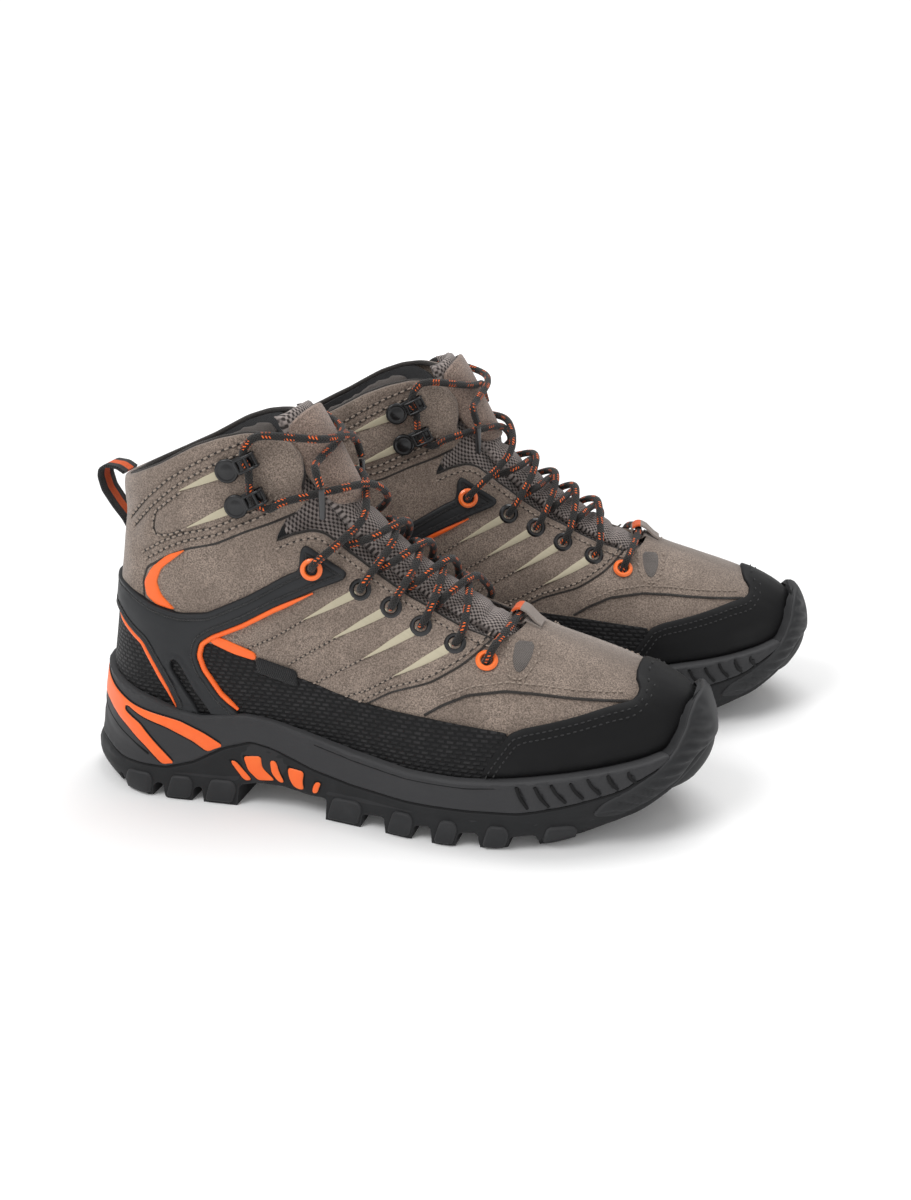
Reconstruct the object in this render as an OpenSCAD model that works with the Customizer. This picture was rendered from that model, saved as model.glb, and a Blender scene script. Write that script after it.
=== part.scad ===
// A pair of mid-height lace-up hiking boots, each an assembly of separate pieces.
// Every boot is drawn as a right boot in its own frame: X from the heel to the toe, Y towards the
// inner (medial) side, Z up, ground at Z 0, heel at X 0. The left boot is its mirror image.

/* [Boot] */
// Length of the outsole from heel to toe bumper
boot_length = 305; // [280:1:330]
// Depth of the tread lugs
lug_depth = 7; // [5:0.5:8]
// Thickness of the suede
suede_t = 1.8; // [1.2:0.1:2.2]
// Thickness of the tongue's padding
tongue_t = 6; // [4:0.5:7]
// Radius of the round lace
lace_r = 1.8; // [1.4:0.1:2]
// Radius of the hole in each eyelet
eyelet_hole_r = 2.8; // [2.4:0.1:3]

/* [Pair] */
// Distance between the two boots' centre lines
pair_spacing = 126; // [122:1:180]
// How far the left boot stands ahead of the right one
stagger = 43; // [0:1:50]
// Angle by which each boot's toe points outwards
toe_out = 5.25; // [0:0.25:8]

/* [Hidden] */
RIGHT_NODES = ["right_outsole", "right_midsole", "right_heel_insert", "right_arch_ribs",
    "right_shank", "right_insole_board", "right_footbed", "right_vamp", "right_quarters",
    "right_ankle_cuff", "right_mudguard", "right_toe_cap", "right_heel_cage", "right_piping",
    "right_toe_puff", "right_heel_counter", "right_lining", "right_collar_pad", "right_tongue",
    "right_tongue_patch", "right_black_eyelets", "right_orange_eyelets", "right_lace_hooks",
    "right_hook_rivets", "right_claw_stripes", "right_lace", "right_lace_tips",
    "right_lace_keeper", "right_pull_loop", "right_side_tag"];
LEFT_NODES = ["left_outsole", "left_midsole", "left_heel_insert", "left_arch_ribs",
    "left_shank", "left_insole_board", "left_footbed", "left_vamp", "left_quarters",
    "left_ankle_cuff", "left_mudguard", "left_toe_cap", "left_heel_cage", "left_piping",
    "left_toe_puff", "left_heel_counter", "left_lining", "left_collar_pad", "left_tongue",
    "left_tongue_patch", "left_black_eyelets", "left_orange_eyelets", "left_lace_hooks",
    "left_hook_rivets", "left_claw_stripes", "left_lace", "left_lace_tips",
    "left_lace_keeper", "left_pull_loop", "left_side_tag"];

design_length = 305;              // the curves below are drawn for this length
size_k = boot_length / design_length;
gap = 0.1;                        // clearance between neighbouring layers
LATERAL = -1;                     // outer side of a right boot
MEDIAL = 1;                       // inner side of a right boot
turn_x = 152.65;                  // the boot is turned about this point, so the pair stands centred

// Layers of the upper, measured outwards from the suede's outer face
rand_t = 1.1;                     // woven mudguard
toe_cap_t = 2.1;                  // rubber toe cap
cage_t = 3.2;                     // moulded heel cage
stiff_t = 1.2;                    // toe puff and heel counter
lining_out = -3.9;
lining_in = -4.8;
pad_in = -8.8;

// ---------------------------------------------------------------- smooth curves
function slope(c, i) = (c[i + 1][1] - c[i][1]) / (c[i + 1][0] - c[i][0]);
function tangent(c, i) =
    i == 0 ? slope(c, 0)
    : i == len(c) - 1 ? slope(c, i - 1)
    : slope(c, i - 1) * slope(c, i) <= 0 ? 0
    : let (a = c[i][0] - c[i - 1][0], b = c[i + 1][0] - c[i][0])
      (a * slope(c, i) + b * slope(c, i - 1)) / (a + b);
function span(c, t, i = 0) = i >= len(c) - 2 || t < c[i + 1][0] ? i : span(c, t, i + 1);
// Value at t of the smooth curve through the points c = [[t, value], ...]
function at(c, t) =
    let (i = span(c, t), h = c[i + 1][0] - c[i][0], s = min(1, max(0, (t - c[i][0]) / h)))
    (2 * s ^ 3 - 3 * s ^ 2 + 1) * c[i][1] + (s ^ 3 - 2 * s ^ 2 + s) * h * tangent(c, i)
    + (3 * s ^ 2 - 2 * s ^ 3) * c[i + 1][1] + (s ^ 3 - s ^ 2) * h * tangent(c, i + 1);
function ease(a, b, t) = let (s = min(1, max(0, (t - a) / (b - a)))) s * s * (3 - 2 * s);
// Rounded end of an outline: 0 at the tip, 1 once t reaches 1
function lobe(t) = let (s = min(1, max(0, t))) sqrt(1 - (1 - s) ^ 2.1);

// ---------------------------------------------------------------- shape of the upper
// Each horizontal slice at height z is a long oval from the heel line to the front line.
heel_line = [[12, 14], [30, 11], [50, 13], [75, 18], [100, 23], [120, 27], [140, 30], [160, 30],
    [196, 28]];
front_line = [[12, 282], [30, 293], [44, 298], [54, 296.5], [60, 291.5], [66, 281.5], [71, 270],
    [77, 253], [84, 234], [93, 213], [104, 194], [116, 177], [130, 159], [147, 143], [165, 131], [196, 114]];
lateral_plan = [[0, 28], [40, 34], [90, 34], [140, 39], [190, 49], [220, 50], [260, 46], [300, 38]];
medial_plan = [[0, 28], [40, 34], [90, 31], [140, 32], [190, 43.5], [225, 48.5], [260, 47], [300, 40]];
ankle_plan = [[0, 30], [40, 33], [80, 32], [120, 30], [160, 28], [220, 26]];
nose_length = [[12, 70], [50, 75], [70, 95], [90, 110], [116, 98], [138, 68], [160, 50], [196, 42]];
tail_length = [[12, 42], [60, 40], [120, 42], [196, 45]];

function swing(x) = 5 * min(1.2, max(0, (x - 90) / 200));      // the forefoot curves inwards
function half_width(x, z, side) =
    let (k = ease(30, 120, z), low = at(side < 0 ? lateral_plan : medial_plan, x))
    low * (1 - k) + at(ankle_plan, x) * k;
function upper_half(x, z, side) =
    half_width(x, z, side) * lobe((at(front_line, z) - x) / at(nose_length, z))
    * lobe((x - at(heel_line, z)) / at(tail_length, z));
function side_of(a) = a <= 180 ? LATERAL : MEDIAL;
// Point on the suede: a runs from the heel (0) along the outer side to the front (180) and back
function upper_point(a, z) =
    let (b = at(heel_line, z), f = at(front_line, z), x = b + (f - b) * (1 - cos(a)) / 2,
         side = side_of(a))
    [x, side * upper_half(x, z, side) + swing(x), z];
function unit(v) = v / norm(v);
function upper_normal(a, z) =
    unit(cross(upper_point((a + 2) % 360, z) - upper_point((a + 358) % 360, z),
               upper_point(a, z + 0.5) - upper_point(a, z - 0.5)));
// The same surface addressed by its side view: x along the boot, z up
function flank_point(x, z, side, t = 0) =
    let (y = upper_half(x, z, side),
         n = unit([-(upper_half(x + 0.5, z, side) - upper_half(x - 0.5, z, side)), side,
                   -(upper_half(x, z + 0.5, side) - upper_half(x, z - 0.5, side))]))
    [x, side * y + swing(x), z] + t * n;
function flank_normal(x, z, side) = flank_point(x, z, side, 1) - flank_point(x, z, side);

// ---------------------------------------------------------------- shape of the sole
sole_back = [[0, 10], [6, 3], [12, 0], [20, 3], [30, 5], [45, 8], [64, 12]];
sole_front = [[0, 262], [6, 276], [14, 290], [26, 301], [40, 305], [52, 303.5], [60, 300], [64, 297]];
sole_lateral = [[0, 33], [45, 39.5], [95, 38.5], [140, 44], [190, 54], [222, 55], [262, 51], [305, 43]];
sole_medial = [[0, 33], [45, 39.5], [95, 35.5], [140, 36.5], [190, 49], [225, 54], [262, 51], [305, 43]];
sole_nose = 72;
sole_tail = 44;
function sole_half(x, z, side) =
    (at(side < 0 ? sole_lateral : sole_medial, x) + ease(30, 0, z) - 3 * ease(35, 64, z))
    * lobe((at(sole_front, z) - x) / sole_nose) * lobe((x - at(sole_back, z)) / sole_tail);
function sole_point(a, z) =
    let (b = at(sole_back, z), f = at(sole_front, z), x = b + (f - b) * (1 - cos(a)) / 2,
         side = side_of(a))
    [x, side * sole_half(x, z, side) + swing(x), z];

// ---------------------------------------------------------------- lofted bodies
UPPER_LEVELS = [12, 24, 42, 56, 67, 78, 90, 106, 130, 160, 196];
INNER_LEVELS = [12, 24, 42, 67, 90, 130, 160, 196];
SOLE_LEVELS = [-2, 6, 14, 24, 36, 52, 64];
UPPER_SIDES = 22;
SOLE_SIDES = 28;

// Closed body through rings of n points each, with a fan over each end
module loft(rings) {
    n = len(rings[0]);
    m = len(rings);
    centre = function (r) [for (k = [0:2]) [for (p = r) p[k]] * [for (p = r) 1] / n];
    points = concat([for (r = rings) each r], [centre(rings[0]), centre(rings[m - 1])]);
    walls = [for (j = [0:m - 2], i = [0:n - 1])
        [j * n + i, (j + 1) * n + i, (j + 1) * n + (i + 1) % n, j * n + (i + 1) % n]];
    floor_fan = [for (i = [0:n - 1]) [m * n, i, (i + 1) % n]];
    roof_fan = [for (i = [0:n - 1]) [m * n + 1, (m - 1) * n + (i + 1) % n, (m - 1) * n + i]];
    polyhedron(points, concat(walls, floor_fan, roof_fan), convexity = 8);
}

// The upper's outer body moved outwards by t
module skin(t, levels = UPPER_LEVELS, sides = UPPER_SIDES) {
    loft([for (z = levels) [for (i = [0:sides - 1])
        let (a = i * 360 / sides) upper_point(a, z) + t * upper_normal(a, z)]]);
}

// Joins its children into one smooth-skinned body
module moulded() {
    resize([0, 0, 0]) union() children();
}

module sole_body() {
    loft([for (z = SOLE_LEVELS) [for (i = [0:SOLE_SIDES - 1]) sole_point(i * 360 / SOLE_SIDES, z)]]);
}

// Prism across the boot whose side view is the outline; half = LATERAL or MEDIAL keeps one side
module side_prism(outline, half = 0) {
    depth = 160;
    translate([0, half * depth / 2, 0])
        rotate([90, 0, 0])
            linear_extrude(height = depth, center = true)
                polygon(outline);
}

// The part of the layer between offsets t0 and t1 that lies inside a side-view outline
module panel(outline, t0, t1, half = 0, levels = UPPER_LEVELS, sides = UPPER_SIDES) {
    moulded() intersection() {
        difference() {
            skin(t1, levels, sides);
            skin(t0, levels, sides);
        }
        side_prism(outline, half);
    }
}

function reversed(c) = [for (i = [len(c) - 1:-1:0]) c[i]];
function shifted(c, dx, dz) = [for (p = c) [p[0] + dx, p[1] + dz]];
// The path moved sideways by d, to the left of its direction
function beside(c, d) = [for (i = [0:len(c) - 1])
    let (p = c[max(0, i - 1)], q = c[min(len(c) - 1, i + 1)], u = unit(q - p))
    c[i] + d * [-u[1], u[0]]];

// ---------------------------------------------------------------- side-view lines, heel to toe
low_line = [[-8, 19], [15, 20], [28, 17], [53, 16], [67, 20], [84, 29], [97, 33], [108, 31], [128, 24],
    [148, 20], [175, 18], [205, 18], [228, 19], [249, 23], [270, 28], [289, 38]];
midsole_top = [[-8, 61], [8, 60], [25, 56], [49, 50], [60, 46], [72, 44], [95, 46.5], [108, 45],
    [129, 40.5], [149, 36], [175, 32.5], [200, 32], [217, 33], [239, 36], [260, 38], [280, 40], [290, 42]];
bumper_edge = [[289, 38], [290, 42], [294, 51], [295, 57], [296, 61.5]];
board_top = [[-5, 24.5], [80, 24.5], [190, 15.5], [310, 15.5]];
board_t = 2.2;
bed_t = 5;
collar_line = [[-5, 150], [30, 150.5], [45, 156], [60, 162], [78, 171], [90, 175], [101, 177],
    [111, 176], [118, 172], [123, 165]];
cuff_front = [[124, 158], [123, 151], [126, 146], [121, 141]];
cuff_seam = [[46, 90], [46, 106], [49, 113], [61, 120], [71, 124], [85, 127], [99, 133], [111, 137],
    [121, 141]];
throat_line = [[112, 127.8], [120, 131], [128, 132.5], [133, 131], [142, 123.5], [158, 111],
    [170, 103], [179, 98.5], [187, 94], [196, 90], [208, 86]];
throat_end = [[216, 86.5], [222, 90], [226, 100]];
eyestay_seam = [[146, 12], [150, 55], [153, 57], [167, 65], [185, 71], [198, 78], [206, 84],
    [208, 86]];
rand_top = [[-5, 90], [27, 87], [46, 80], [79, 79], [101, 72], [122, 66], [148, 59], [167, 57],
    [186, 56], [222, 53]];
cap_border = [[209, 33], [213, 40], [222, 53], [228, 55.5], [247, 59], [262, 62], [272, 63], [273.5, 66],
    [270, 69], [270, 84]];
cage_top = [[-8, 106], [22, 104], [37, 102], [52, 96], [65, 93], [78, 94], [98, 103], [116, 113],
    [122, 115.5], [123, 125], [125, 127], [133, 121], [143, 114]];
cage_low = [[142, 111], [128, 106], [110, 98], [95, 90], [80, 83.5], [74, 79.5], [72, 73], [74, 66],
    [82, 54], [90, 47]];
cage_back = [[60, 46.5], [56, 56], [51, 66], [45, 77], [29, 87], [-8, 93]];
cage_slit = [[58, 67], [60, 71], [63, 68], [69, 56], [76, 47.5], [69, 48.5], [63, 58]];
crescent = [[71, 124], [61, 120.5], [52, 113.5], [47, 106], [48, 99.5], [53, 97], [63, 95],
    [56, 101], [54, 107], [57, 113.5]];

// Eyelets and hooks in the side view, from the toe up
orange_at = [[208, 79], [128, 116]];
black_at = [[193, 85], [177, 91.5], [163, 99], [149, 106.5]];
stud_at = [[98, 146], [95, 162]];
lace_rows = [[208, 79], [193, 85], [177, 91.5], [163, 99], [149, 106.5], [128, 116]];
hook_tilt = 0.45;                 // rise of a hook's strap towards the throat
stripe_tips = [[170, 73], [155, 79], [140, 86.5], [126, 94], [74, 135], [72, 152]];
stripe_roots = [[188, 82.2], [171.8, 88.3], [157.8, 95.8], [143.8, 103.2], [91.5, 142.7], [88.5, 158.8]];

// ---------------------------------------------------------------- sole unit
outsole_floor = [[-3, 20], [-1, 8], [5, 4], [12, 1.5], [22, 0.4]];
heel_notches = [[22, 27], [44, 51], [65, 71]];
heel_end = 88;
ball_start = 134;
ball_notches = [[152, 165], [178, 188], [199, 210], [222, 235]];
ball_end = [[252, 1.5], [262, 5], [275, 11], [289, 22], [299, 33], [308, 44]];
// Tread profile: each notch leaves the rubber lug_depth above the ground
function notched(notches) = [for (n = notches)
    each [[n[0], 0], [n[0] + 1.5, lug_depth], [n[1] - 0.5, lug_depth + 1], [n[1], 0]]];
tread = concat(outsole_floor, notched(heel_notches), [[heel_end, 0], [heel_end + 2, 11], [99, 13],
    [112, 13], [127, 11], [ball_start + 1, 11], [ball_start, 0]], notched(ball_notches), ball_end);

// Room in the sole unit for the foot of the upper
module cavity() {
    intersection() {
        skin(rand_t + 2 * gap);
        side_prism([[-9, 75], each shifted(board_top, 0, -board_t - gap), [311, 75]]);
    }
}

// The midsole's plug, which sits in a pocket of the outsole
core_plan = [[28, -18], [60, -25], [110, -22], [180, -32], [235, -33], [262, -18], [268, 6], [262, 26],
    [235, 38], [180, 30], [110, 18], [60, 24], [28, 18]];
core_floor = 9;
module core(grow = 0) {
    translate([0, 0, core_floor - grow])
        linear_extrude(height = 14 + grow)
            polygon([for (p = core_plan) p + grow * unit(p - [core_x, 0])]);
}

module shank_plate(grow = 0) {
    translate([72 - grow, -11 - grow, 12.2 - grow])
        cube([96 + 2 * grow, 22 + 2 * grow, 1.6 + 2 * grow]);
}

channel_w = 6;
module tread_channels() {
    for (x = [[18, 56], [138, 108]])
        translate([x[0], swing(x[0]) - channel_w / 2, -1])
            cube([x[1], channel_w, lug_depth]);
}

core_x = 150;                     // middle of the sole unit
core_half = 38;                   // half of its width at the arch
// The sole unit's body shrunk by d at its walls
module sole_within(d) {
    translate([core_x, 0, 0])
        scale([1 - d / core_x, 1 - d / core_half, 1])
            translate([-core_x, 0, 0])
                sole_body();
}

module outsole() {
    color("#2b2c2e") difference() {
        moulded() difference() {
            intersection() {
                sole_body();
                side_prism(concat(tread, [[308, 61.5]], reversed(bumper_edge), reversed(low_line)));
            }
            cavity();
            core(4 * gap);
            rib_zone(gap);
        }
        tread_channels();
    }
}

module midsole() {
    color("#4a4b4d") difference() {
        moulded() difference() {
            union() {
                intersection() {
                    sole_body();
                    side_prism(concat(beside(low_line, gap), reversed(midsole_top)));
                }
                core();
            }
            cavity();
            heel_insert_zone(gap);
        }
        shank_plate(gap);
    }
}

chevron_upper = [[-8, 60], [8, 57], [22, 51], [37, 46.5], [62, 41.5], [74, 36.5], [84, 30], [75, 26],
    [68, 31.5], [55, 37.5], [41, 38.5], [30, 43], [12, 50], [-8, 52]];
chevron_lower = [[-8, 52], [12, 50], [30, 43], [41, 38.5], [49, 28], [58, 18.5], [51, 17.5], [43, 26],
    [33, 34], [19, 41], [-8, 45]];
insert_depth = 1.3;
module heel_insert_zone(grow = 0) {
    difference() {
        union() {
            side_prism(chevron_upper);
            side_prism(chevron_lower);
        }
        sole_within(insert_depth + grow);
    }
}

// What the two arms of the heel insert may reach, between the outsole and the top of the midsole
insert_reach = [[-9, 62], [-9, 20.5], [28, 18], [53, 17], [67, 21], [84, 30], [72, 43.5], [60, 45.5],
    [49, 49.5], [25, 55.5], [8, 59.5]];
module heel_insert() {
    color("#f26a1b") moulded() intersection() {
        sole_body();
        heel_insert_zone();
        side_prism(insert_reach);
    }
}

rib_bars = [[[86, 23], [89, 23.4], [97, 14.2], [93, 13.4]],
    [[93, 26], [102, 27], [102.5, 21], [109, 15.4], [100, 14.4], [95, 19]],
    [[106.5, 25.4], [110, 25.6], [111, 20], [114, 15], [110.5, 15], [107, 19]],
    [[115.5, 23.4], [124.5, 22.6], [123, 17], [124, 13], [118.5, 13.6], [116, 18]],
    [[129.5, 18.4], [133, 18.8], [130.5, 12.6], [127.5, 12.8]]];
module rib_zone(grow = 0) {
    difference() {
        for (b = rib_bars) side_prism(b);
        sole_within(insert_depth + grow);
    }
}

module arch_ribs() {
    color("#f26a1b") moulded() intersection() {
        sole_body();
        rib_zone();
    }
}

module shank() {
    color("#8c8f94") shank_plate();
}

// The part of the upper's hollow, shrunk by -t, that lies between two heights over the board
module bed_layer(t, z0, z1) {
    moulded() intersection() {
        skin(t, INNER_LEVELS, UPPER_SIDES);
        side_prism(concat(shifted(board_top, 0, z0), reversed(shifted(board_top, 0, z1))));
    }
}

module insole_board() {
    color("#b9a98c") bed_layer(-suede_t - 1, -board_t, 0);
}

module footbed() {
    color("#3c3e42") bed_layer(-6.6, 2 * gap, bed_t);
}

// ---------------------------------------------------------------- upper
suede = "#8f8276";

module lace_holes(places, r) {
    for (p = places, side = [LATERAL, MEDIAL])
        on_flank(p, side, -3)
            cylinder(h = 8, r = r, $fn = 24);
}

// Stands its children on the upper at p = [x, z], their Z along the surface's normal
module on_flank(p, side, t = 0) {
    n = flank_normal(p[0], p[1], side);
    along = flank_point(p[0] + 1, p[1] + hook_tilt, side) - flank_point(p[0], p[1], side);
    u = unit(along - (along * n) * n);
    v = cross(n, u);
    o = flank_point(p[0], p[1], side, t);
    multmatrix([[u[0], v[0], n[0], o[0]], [u[1], v[1], n[1], o[1]], [u[2], v[2], n[2], o[2]], [0, 0, 0, 1]])
        children();
}

barrel_r = eyelet_hole_r + 0.6;
module vamp() {
    color(suede) difference() {
        panel(concat([[146, 16]], [for (i = [1:len(eyestay_seam) - 1]) eyestay_seam[i]], throat_end,
            [[320, 100], [320, 16]]), -suede_t, 0);
        lace_holes([orange_at[0]], barrel_r + gap);
        side_prism([[140, 10], [310, 10], [310, 13.8], [140, 19]]);
    }
}

module quarters() {
    color(suede) difference() {
        panel(concat([[-8, 23], [80, 23], [146, 18]],
            [for (i = [1:len(eyestay_seam) - 1]) eyestay_seam[i]], reversed(throat_line),
            [[115, 130], [122, 137]], reversed(cuff_seam), [[-8, 90]]), -suede_t, 0);
        lace_holes(concat(black_at, [orange_at[1]]), barrel_r + gap);
    }
}

module ankle_cuff() {
    color(suede)
        panel(concat([[-8, 90 + gap]], shifted(cuff_seam, 0, gap), reversed(cuff_front),
            reversed(collar_line)), -suede_t, 0);
}

module mudguard() {
    color("#1b1b1d")
        panel(concat([[-8, 23], [80, 23], [190, 14], [209, 14], [209, 33], [213, 40]],
            reversed(rand_top)), gap, rand_t + gap);
}

module toe_cap() {
    color("#141415")
        panel(concat([[210, 33.2]], [for (i = [1:len(cap_border) - 1]) cap_border[i] + [0.2, 0]],
            [[320, 84]], [[320, 62.2]], [for (i = [4:-1:1]) bumper_edge[i] + [-0.7, 0.7]],
            [[280, 40.4], [260, 38.4], [239, 36.4], [217, 33.4]]),
            gap, toe_cap_t + gap);
}

module cage_area(t0, t1) {
    difference() {
        panel(concat(reversed(cage_top), reversed(cage_back), reversed(cage_low)), t0, t1);
        side_prism(cage_slit);
    }
}

module heel_cage() {
    color("#333437") difference() {
        moulded() difference() {
            cage_area(gap, cage_t);
            intersection() {
                skin(rand_t + 2 * gap);
                side_prism(concat([[-9, 30]], [[209, 30]], reversed(shifted(rand_top, 0, gap))));
            }
            side_prism([[-9, 30], each shifted(midsole_top, 0, gap), [300, 30]]);
        }
        lace_holes([orange_at[1]], barrel_r + gap);
    }
}

piping_w = 2;
module piping() {
    line = [for (i = [2:len(cage_low) - 1]) cage_low[i]];
    back = [for (i = [1:len(cage_back) - 2]) cage_back[i]];
    color("#f26a1b") {
        panel(concat(beside(line, gap), reversed(beside(line, piping_w))), rand_t + 2 * gap, 2.6);
        panel(concat(beside(back, gap), reversed(beside(back, piping_w))), rand_t + 2 * gap, 2.4);
        panel(crescent, gap, 1.6);
    }
}

module toe_puff() {
    color("#d8d2c4")
        panel([[248, 17], [250, 58], [266, 80], [320, 80], [320, 17]],
            -suede_t - gap - stiff_t, -suede_t - gap);
}

module heel_counter() {
    color("#d8d2c4")
        panel([[-8, 25.5], [70, 25.5], [78, 40], [60, 66], [40, 84], [-8, 92]],
            -suede_t - gap - stiff_t, -suede_t - gap);
}

module lining() {
    color("#57585a")
        panel([[-8, 25], [80, 25], [190, 16.5], [240, 16.5], [240, 52], [196, 56], [165, 78],
            [140, 96], [116, 112], [104, 126], [108, 140], [112, 160], [108, 170], [98, 174.5],
            [90, 173], [78, 169], [60, 160], [45, 154], [30, 148.5], [-8, 148]],
            lining_in, lining_out, 0, INNER_LEVELS, UPPER_SIDES);
}

module collar_pad() {
    color("#6a6b6e")
        panel([[-8, 116], [60, 116], [84, 122], [96, 134], [98, 150], [98, 166], [90, 171], [78, 167],
            [60, 158], [45, 152], [30, 146.5], [-8, 146]],
            pad_in, lining_in - gap, 0, INNER_LEVELS, UPPER_SIDES);
}

stripe_w = 6;
module claw_stripes() {
    color("#cdc5a8")
        for (i = [0:len(stripe_tips) - 1])
            let (u = unit(stripe_roots[i] - stripe_tips[i]), v = stripe_w / 2 * [-u[1], u[0]])
            panel([stripe_tips[i] - 0.15 * v, stripe_tips[i] + 0.15 * v, stripe_roots[i] - 8 * u + v,
                stripe_roots[i] + v, stripe_roots[i] - v], gap, 0.7);
}

// ---------------------------------------------------------------- tongue
tongue_line = [[0, [228, 79]], [0.18, [205, 92.5]], [0.36, [184, 105]], [0.54, [164, 119.5]],
    [0.7, [147, 137]], [0.85, [133, 158]], [1, [121, 187]]];
tongue_half = [[0, 12], [0.3, 13.5], [0.6, 14.5], [0.85, 16.5], [1, 20]];
tongue_radius = [[0, 26], [0.3, 21], [0.6, 17], [0.85, 15], [1, 19]];
tongue_x = [for (p = tongue_line) [p[0], p[1][0]]];
tongue_z = [for (p = tongue_line) [p[0], p[1][1]]];
TONGUE_STEPS = 8;
TONGUE_SPANS = 6;

// Point on the tongue: s up its length, v across it from -1 to 1, t outwards from its outer face
function tongue_point(s, v, t) =
    let (x = at(tongue_x, s), z = at(tongue_z, s),
         d = unit([at(tongue_x, s + 0.01) - at(tongue_x, s - 0.01),
                   at(tongue_z, s + 0.01) - at(tongue_z, s - 0.01)]),
         out = [d[1], -d[0]], r = at(tongue_radius, s), a = v * at(tongue_half, s) / r * 180 / PI,
         depth = (r + t) * cos(a) - r)
    [x + out[0] * depth, (r + t) * sin(a) + swing(x), z + out[1] * depth];

// Curved plate on the tongue between s0 and s1 and between offsets t0 and t1
module tongue_plate(s0, s1, width, t0, t1, steps = TONGUE_STEPS) {
    loft([for (j = [0:steps])
        let (s = s0 + (s1 - s0) * j / steps)
        concat([for (i = [0:TONGUE_SPANS]) tongue_point(s, width * (1 - 2 * i / TONGUE_SPANS), t1)],
               [for (i = [0:TONGUE_SPANS]) tongue_point(s, width * (2 * i / TONGUE_SPANS - 1), t0)])]);
}

module tongue() {
    color("#77706c") tongue_plate(0, 1, 1, -tongue_t, 0);
}

module tongue_patch() {
    color(suede) tongue_plate(0.77, 0.97, 0.8, 7 * gap, 1.8, 4);
}

// ---------------------------------------------------------------- lacing hardware
flange_r = eyelet_hole_r + 2.2;
module eyelet(t) {
    rotate_extrude($fn = 32)
        polygon([[eyelet_hole_r, t - 3.2], [barrel_r, t - 3.2], [barrel_r, t + 0.5], [flange_r, t + 0.5],
            [flange_r, t + 0.9], [flange_r - 0.9, t + 1.6], [eyelet_hole_r + 0.4, t + 1.6],
            [eyelet_hole_r, t + 1.2]]);
}

module eyelets(places, t) {
    for (p = places, side = [LATERAL, MEDIAL])
        on_flank(p, side)
            eyelet(t);
}

module black_eyelets() {
    color("#26272a") eyelets(black_at, 0);
}

module orange_eyelets() {
    color("#f26a1b") {
        eyelets([orange_at[0]], 0);
        eyelets([orange_at[1]], cage_t);
    }
}

hook_w = 7.4;
hook_rise = 6.4;
plate_t = 0.9;
module hook_body() {
    translate([-4.5, -hook_w / 2, gap]) cube([17.5, hook_w, plate_t]);
    for (y = [-hook_w / 2, hook_w / 2 - 2.2]) {
        translate([12, y, gap]) cube([1, 2.2, hook_rise]);
        translate([4, y, hook_rise - plate_t + gap]) cube([9, 2.2, plate_t]);
    }
    translate([4, -hook_w / 2, hook_rise - plate_t + gap]) cube([1.6, hook_w, plate_t]);
}

module lace_hooks() {
    color("#202124")
        for (p = stud_at, side = [LATERAL, MEDIAL])
            on_flank(p, side, 1.6)
                hook_body();
}

rivet_r = 5;
module hook_rivets() {
    color("#17181a")
        for (p = stud_at, side = [LATERAL, MEDIAL])
            on_flank(p, side, 1.6 + plate_t + 2 * gap)
                translate([-1.6, 0, 0])
                    cylinder(h = 1.6, r1 = rivet_r, r2 = rivet_r - 1.2, $fn = 32);
}

// ---------------------------------------------------------------- lace
LACE_SIDES = 5;
LACE_STEPS = 2;                   // straight pieces of lace between two points of its path
function between(p0, p1, p2, p3, t) =
    0.5 * (2 * p1 + (p2 - p0) * t + (2 * p0 - 5 * p1 + 4 * p2 - p3) * t ^ 2
    + (3 * p1 - p0 - 3 * p2 + p3) * t ^ 3);
// Smooth path through the points
function rounded_path(path, n = LACE_STEPS) = let (m = len(path) - 1) concat(
    [for (i = [0:m - 1], k = [0:n - 1])
        between(path[max(0, i - 1)], path[i], path[i + 1], path[min(m, i + 2)], k / n)],
    [path[m]]);
function heading(path, i) = unit(path[min(len(path) - 1, i + 1)] - path[max(0, i - 1)]);
function square_to(v, d) = unit(v - (v * d) * d);
// Tube of radius r along a path; its rings turn with the path and never twist
module tube(points, r) {
    path = rounded_path(points);
    n = len(path);
    sides = [for (i = 0, u = square_to([0.31, 0.22, 0.93], heading(path, 0)); i < n;
        i = i + 1, u = square_to(u, heading(path, min(i, n - 1)))) u];
    loft([for (i = [0:n - 1])
        let (d = heading(path, i), u = sides[i], v = cross(d, u))
        [for (k = [0:LACE_SIDES - 1])
            let (a = -k * 360 / LACE_SIDES)
            path[i] + r * (cos(a) * u + sin(a) * v)]]);
}

lace_over = 4;                    // height of a strand over the suede beside its eyelet
lace_under = 5.6;                 // depth of a strand under the suede
bend = 4.9;                       // height of a strand over the suede behind a hook
throat_way = [3.2, 5.2];          // from an eyelet straight towards the throat's edge
lay_low = lace_r + 2;             // height over the tongue of the strand laid first
lay_high = 3 * lace_r + 2.9;      // and of the one laid across it
row_s = [0.13, 0.25, 0.36, 0.46, 0.56, 0.66];   // how far up the tongue each pair of eyelets is
knot_s = 0.9;
function on(p, side, t) = flank_point(p[0], p[1], side, t);
// Place beside a hook's rivet: u along the strap, v across it
hook_way = unit([1, hook_tilt]);
function by_hook(stud, u, v) = stud + u * hook_way + v * [-hook_way[1], hook_way[0]];
// Up through eyelet p and back over its rim towards the throat
function up_through(p, side, t) =
    [on(p + 0.15 * throat_way, side, 0.3 - lace_under), on(p - 0.06 * throat_way, side, -0.5),
     on(p + 0.75 * throat_way, side, t + lace_over)];
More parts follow.
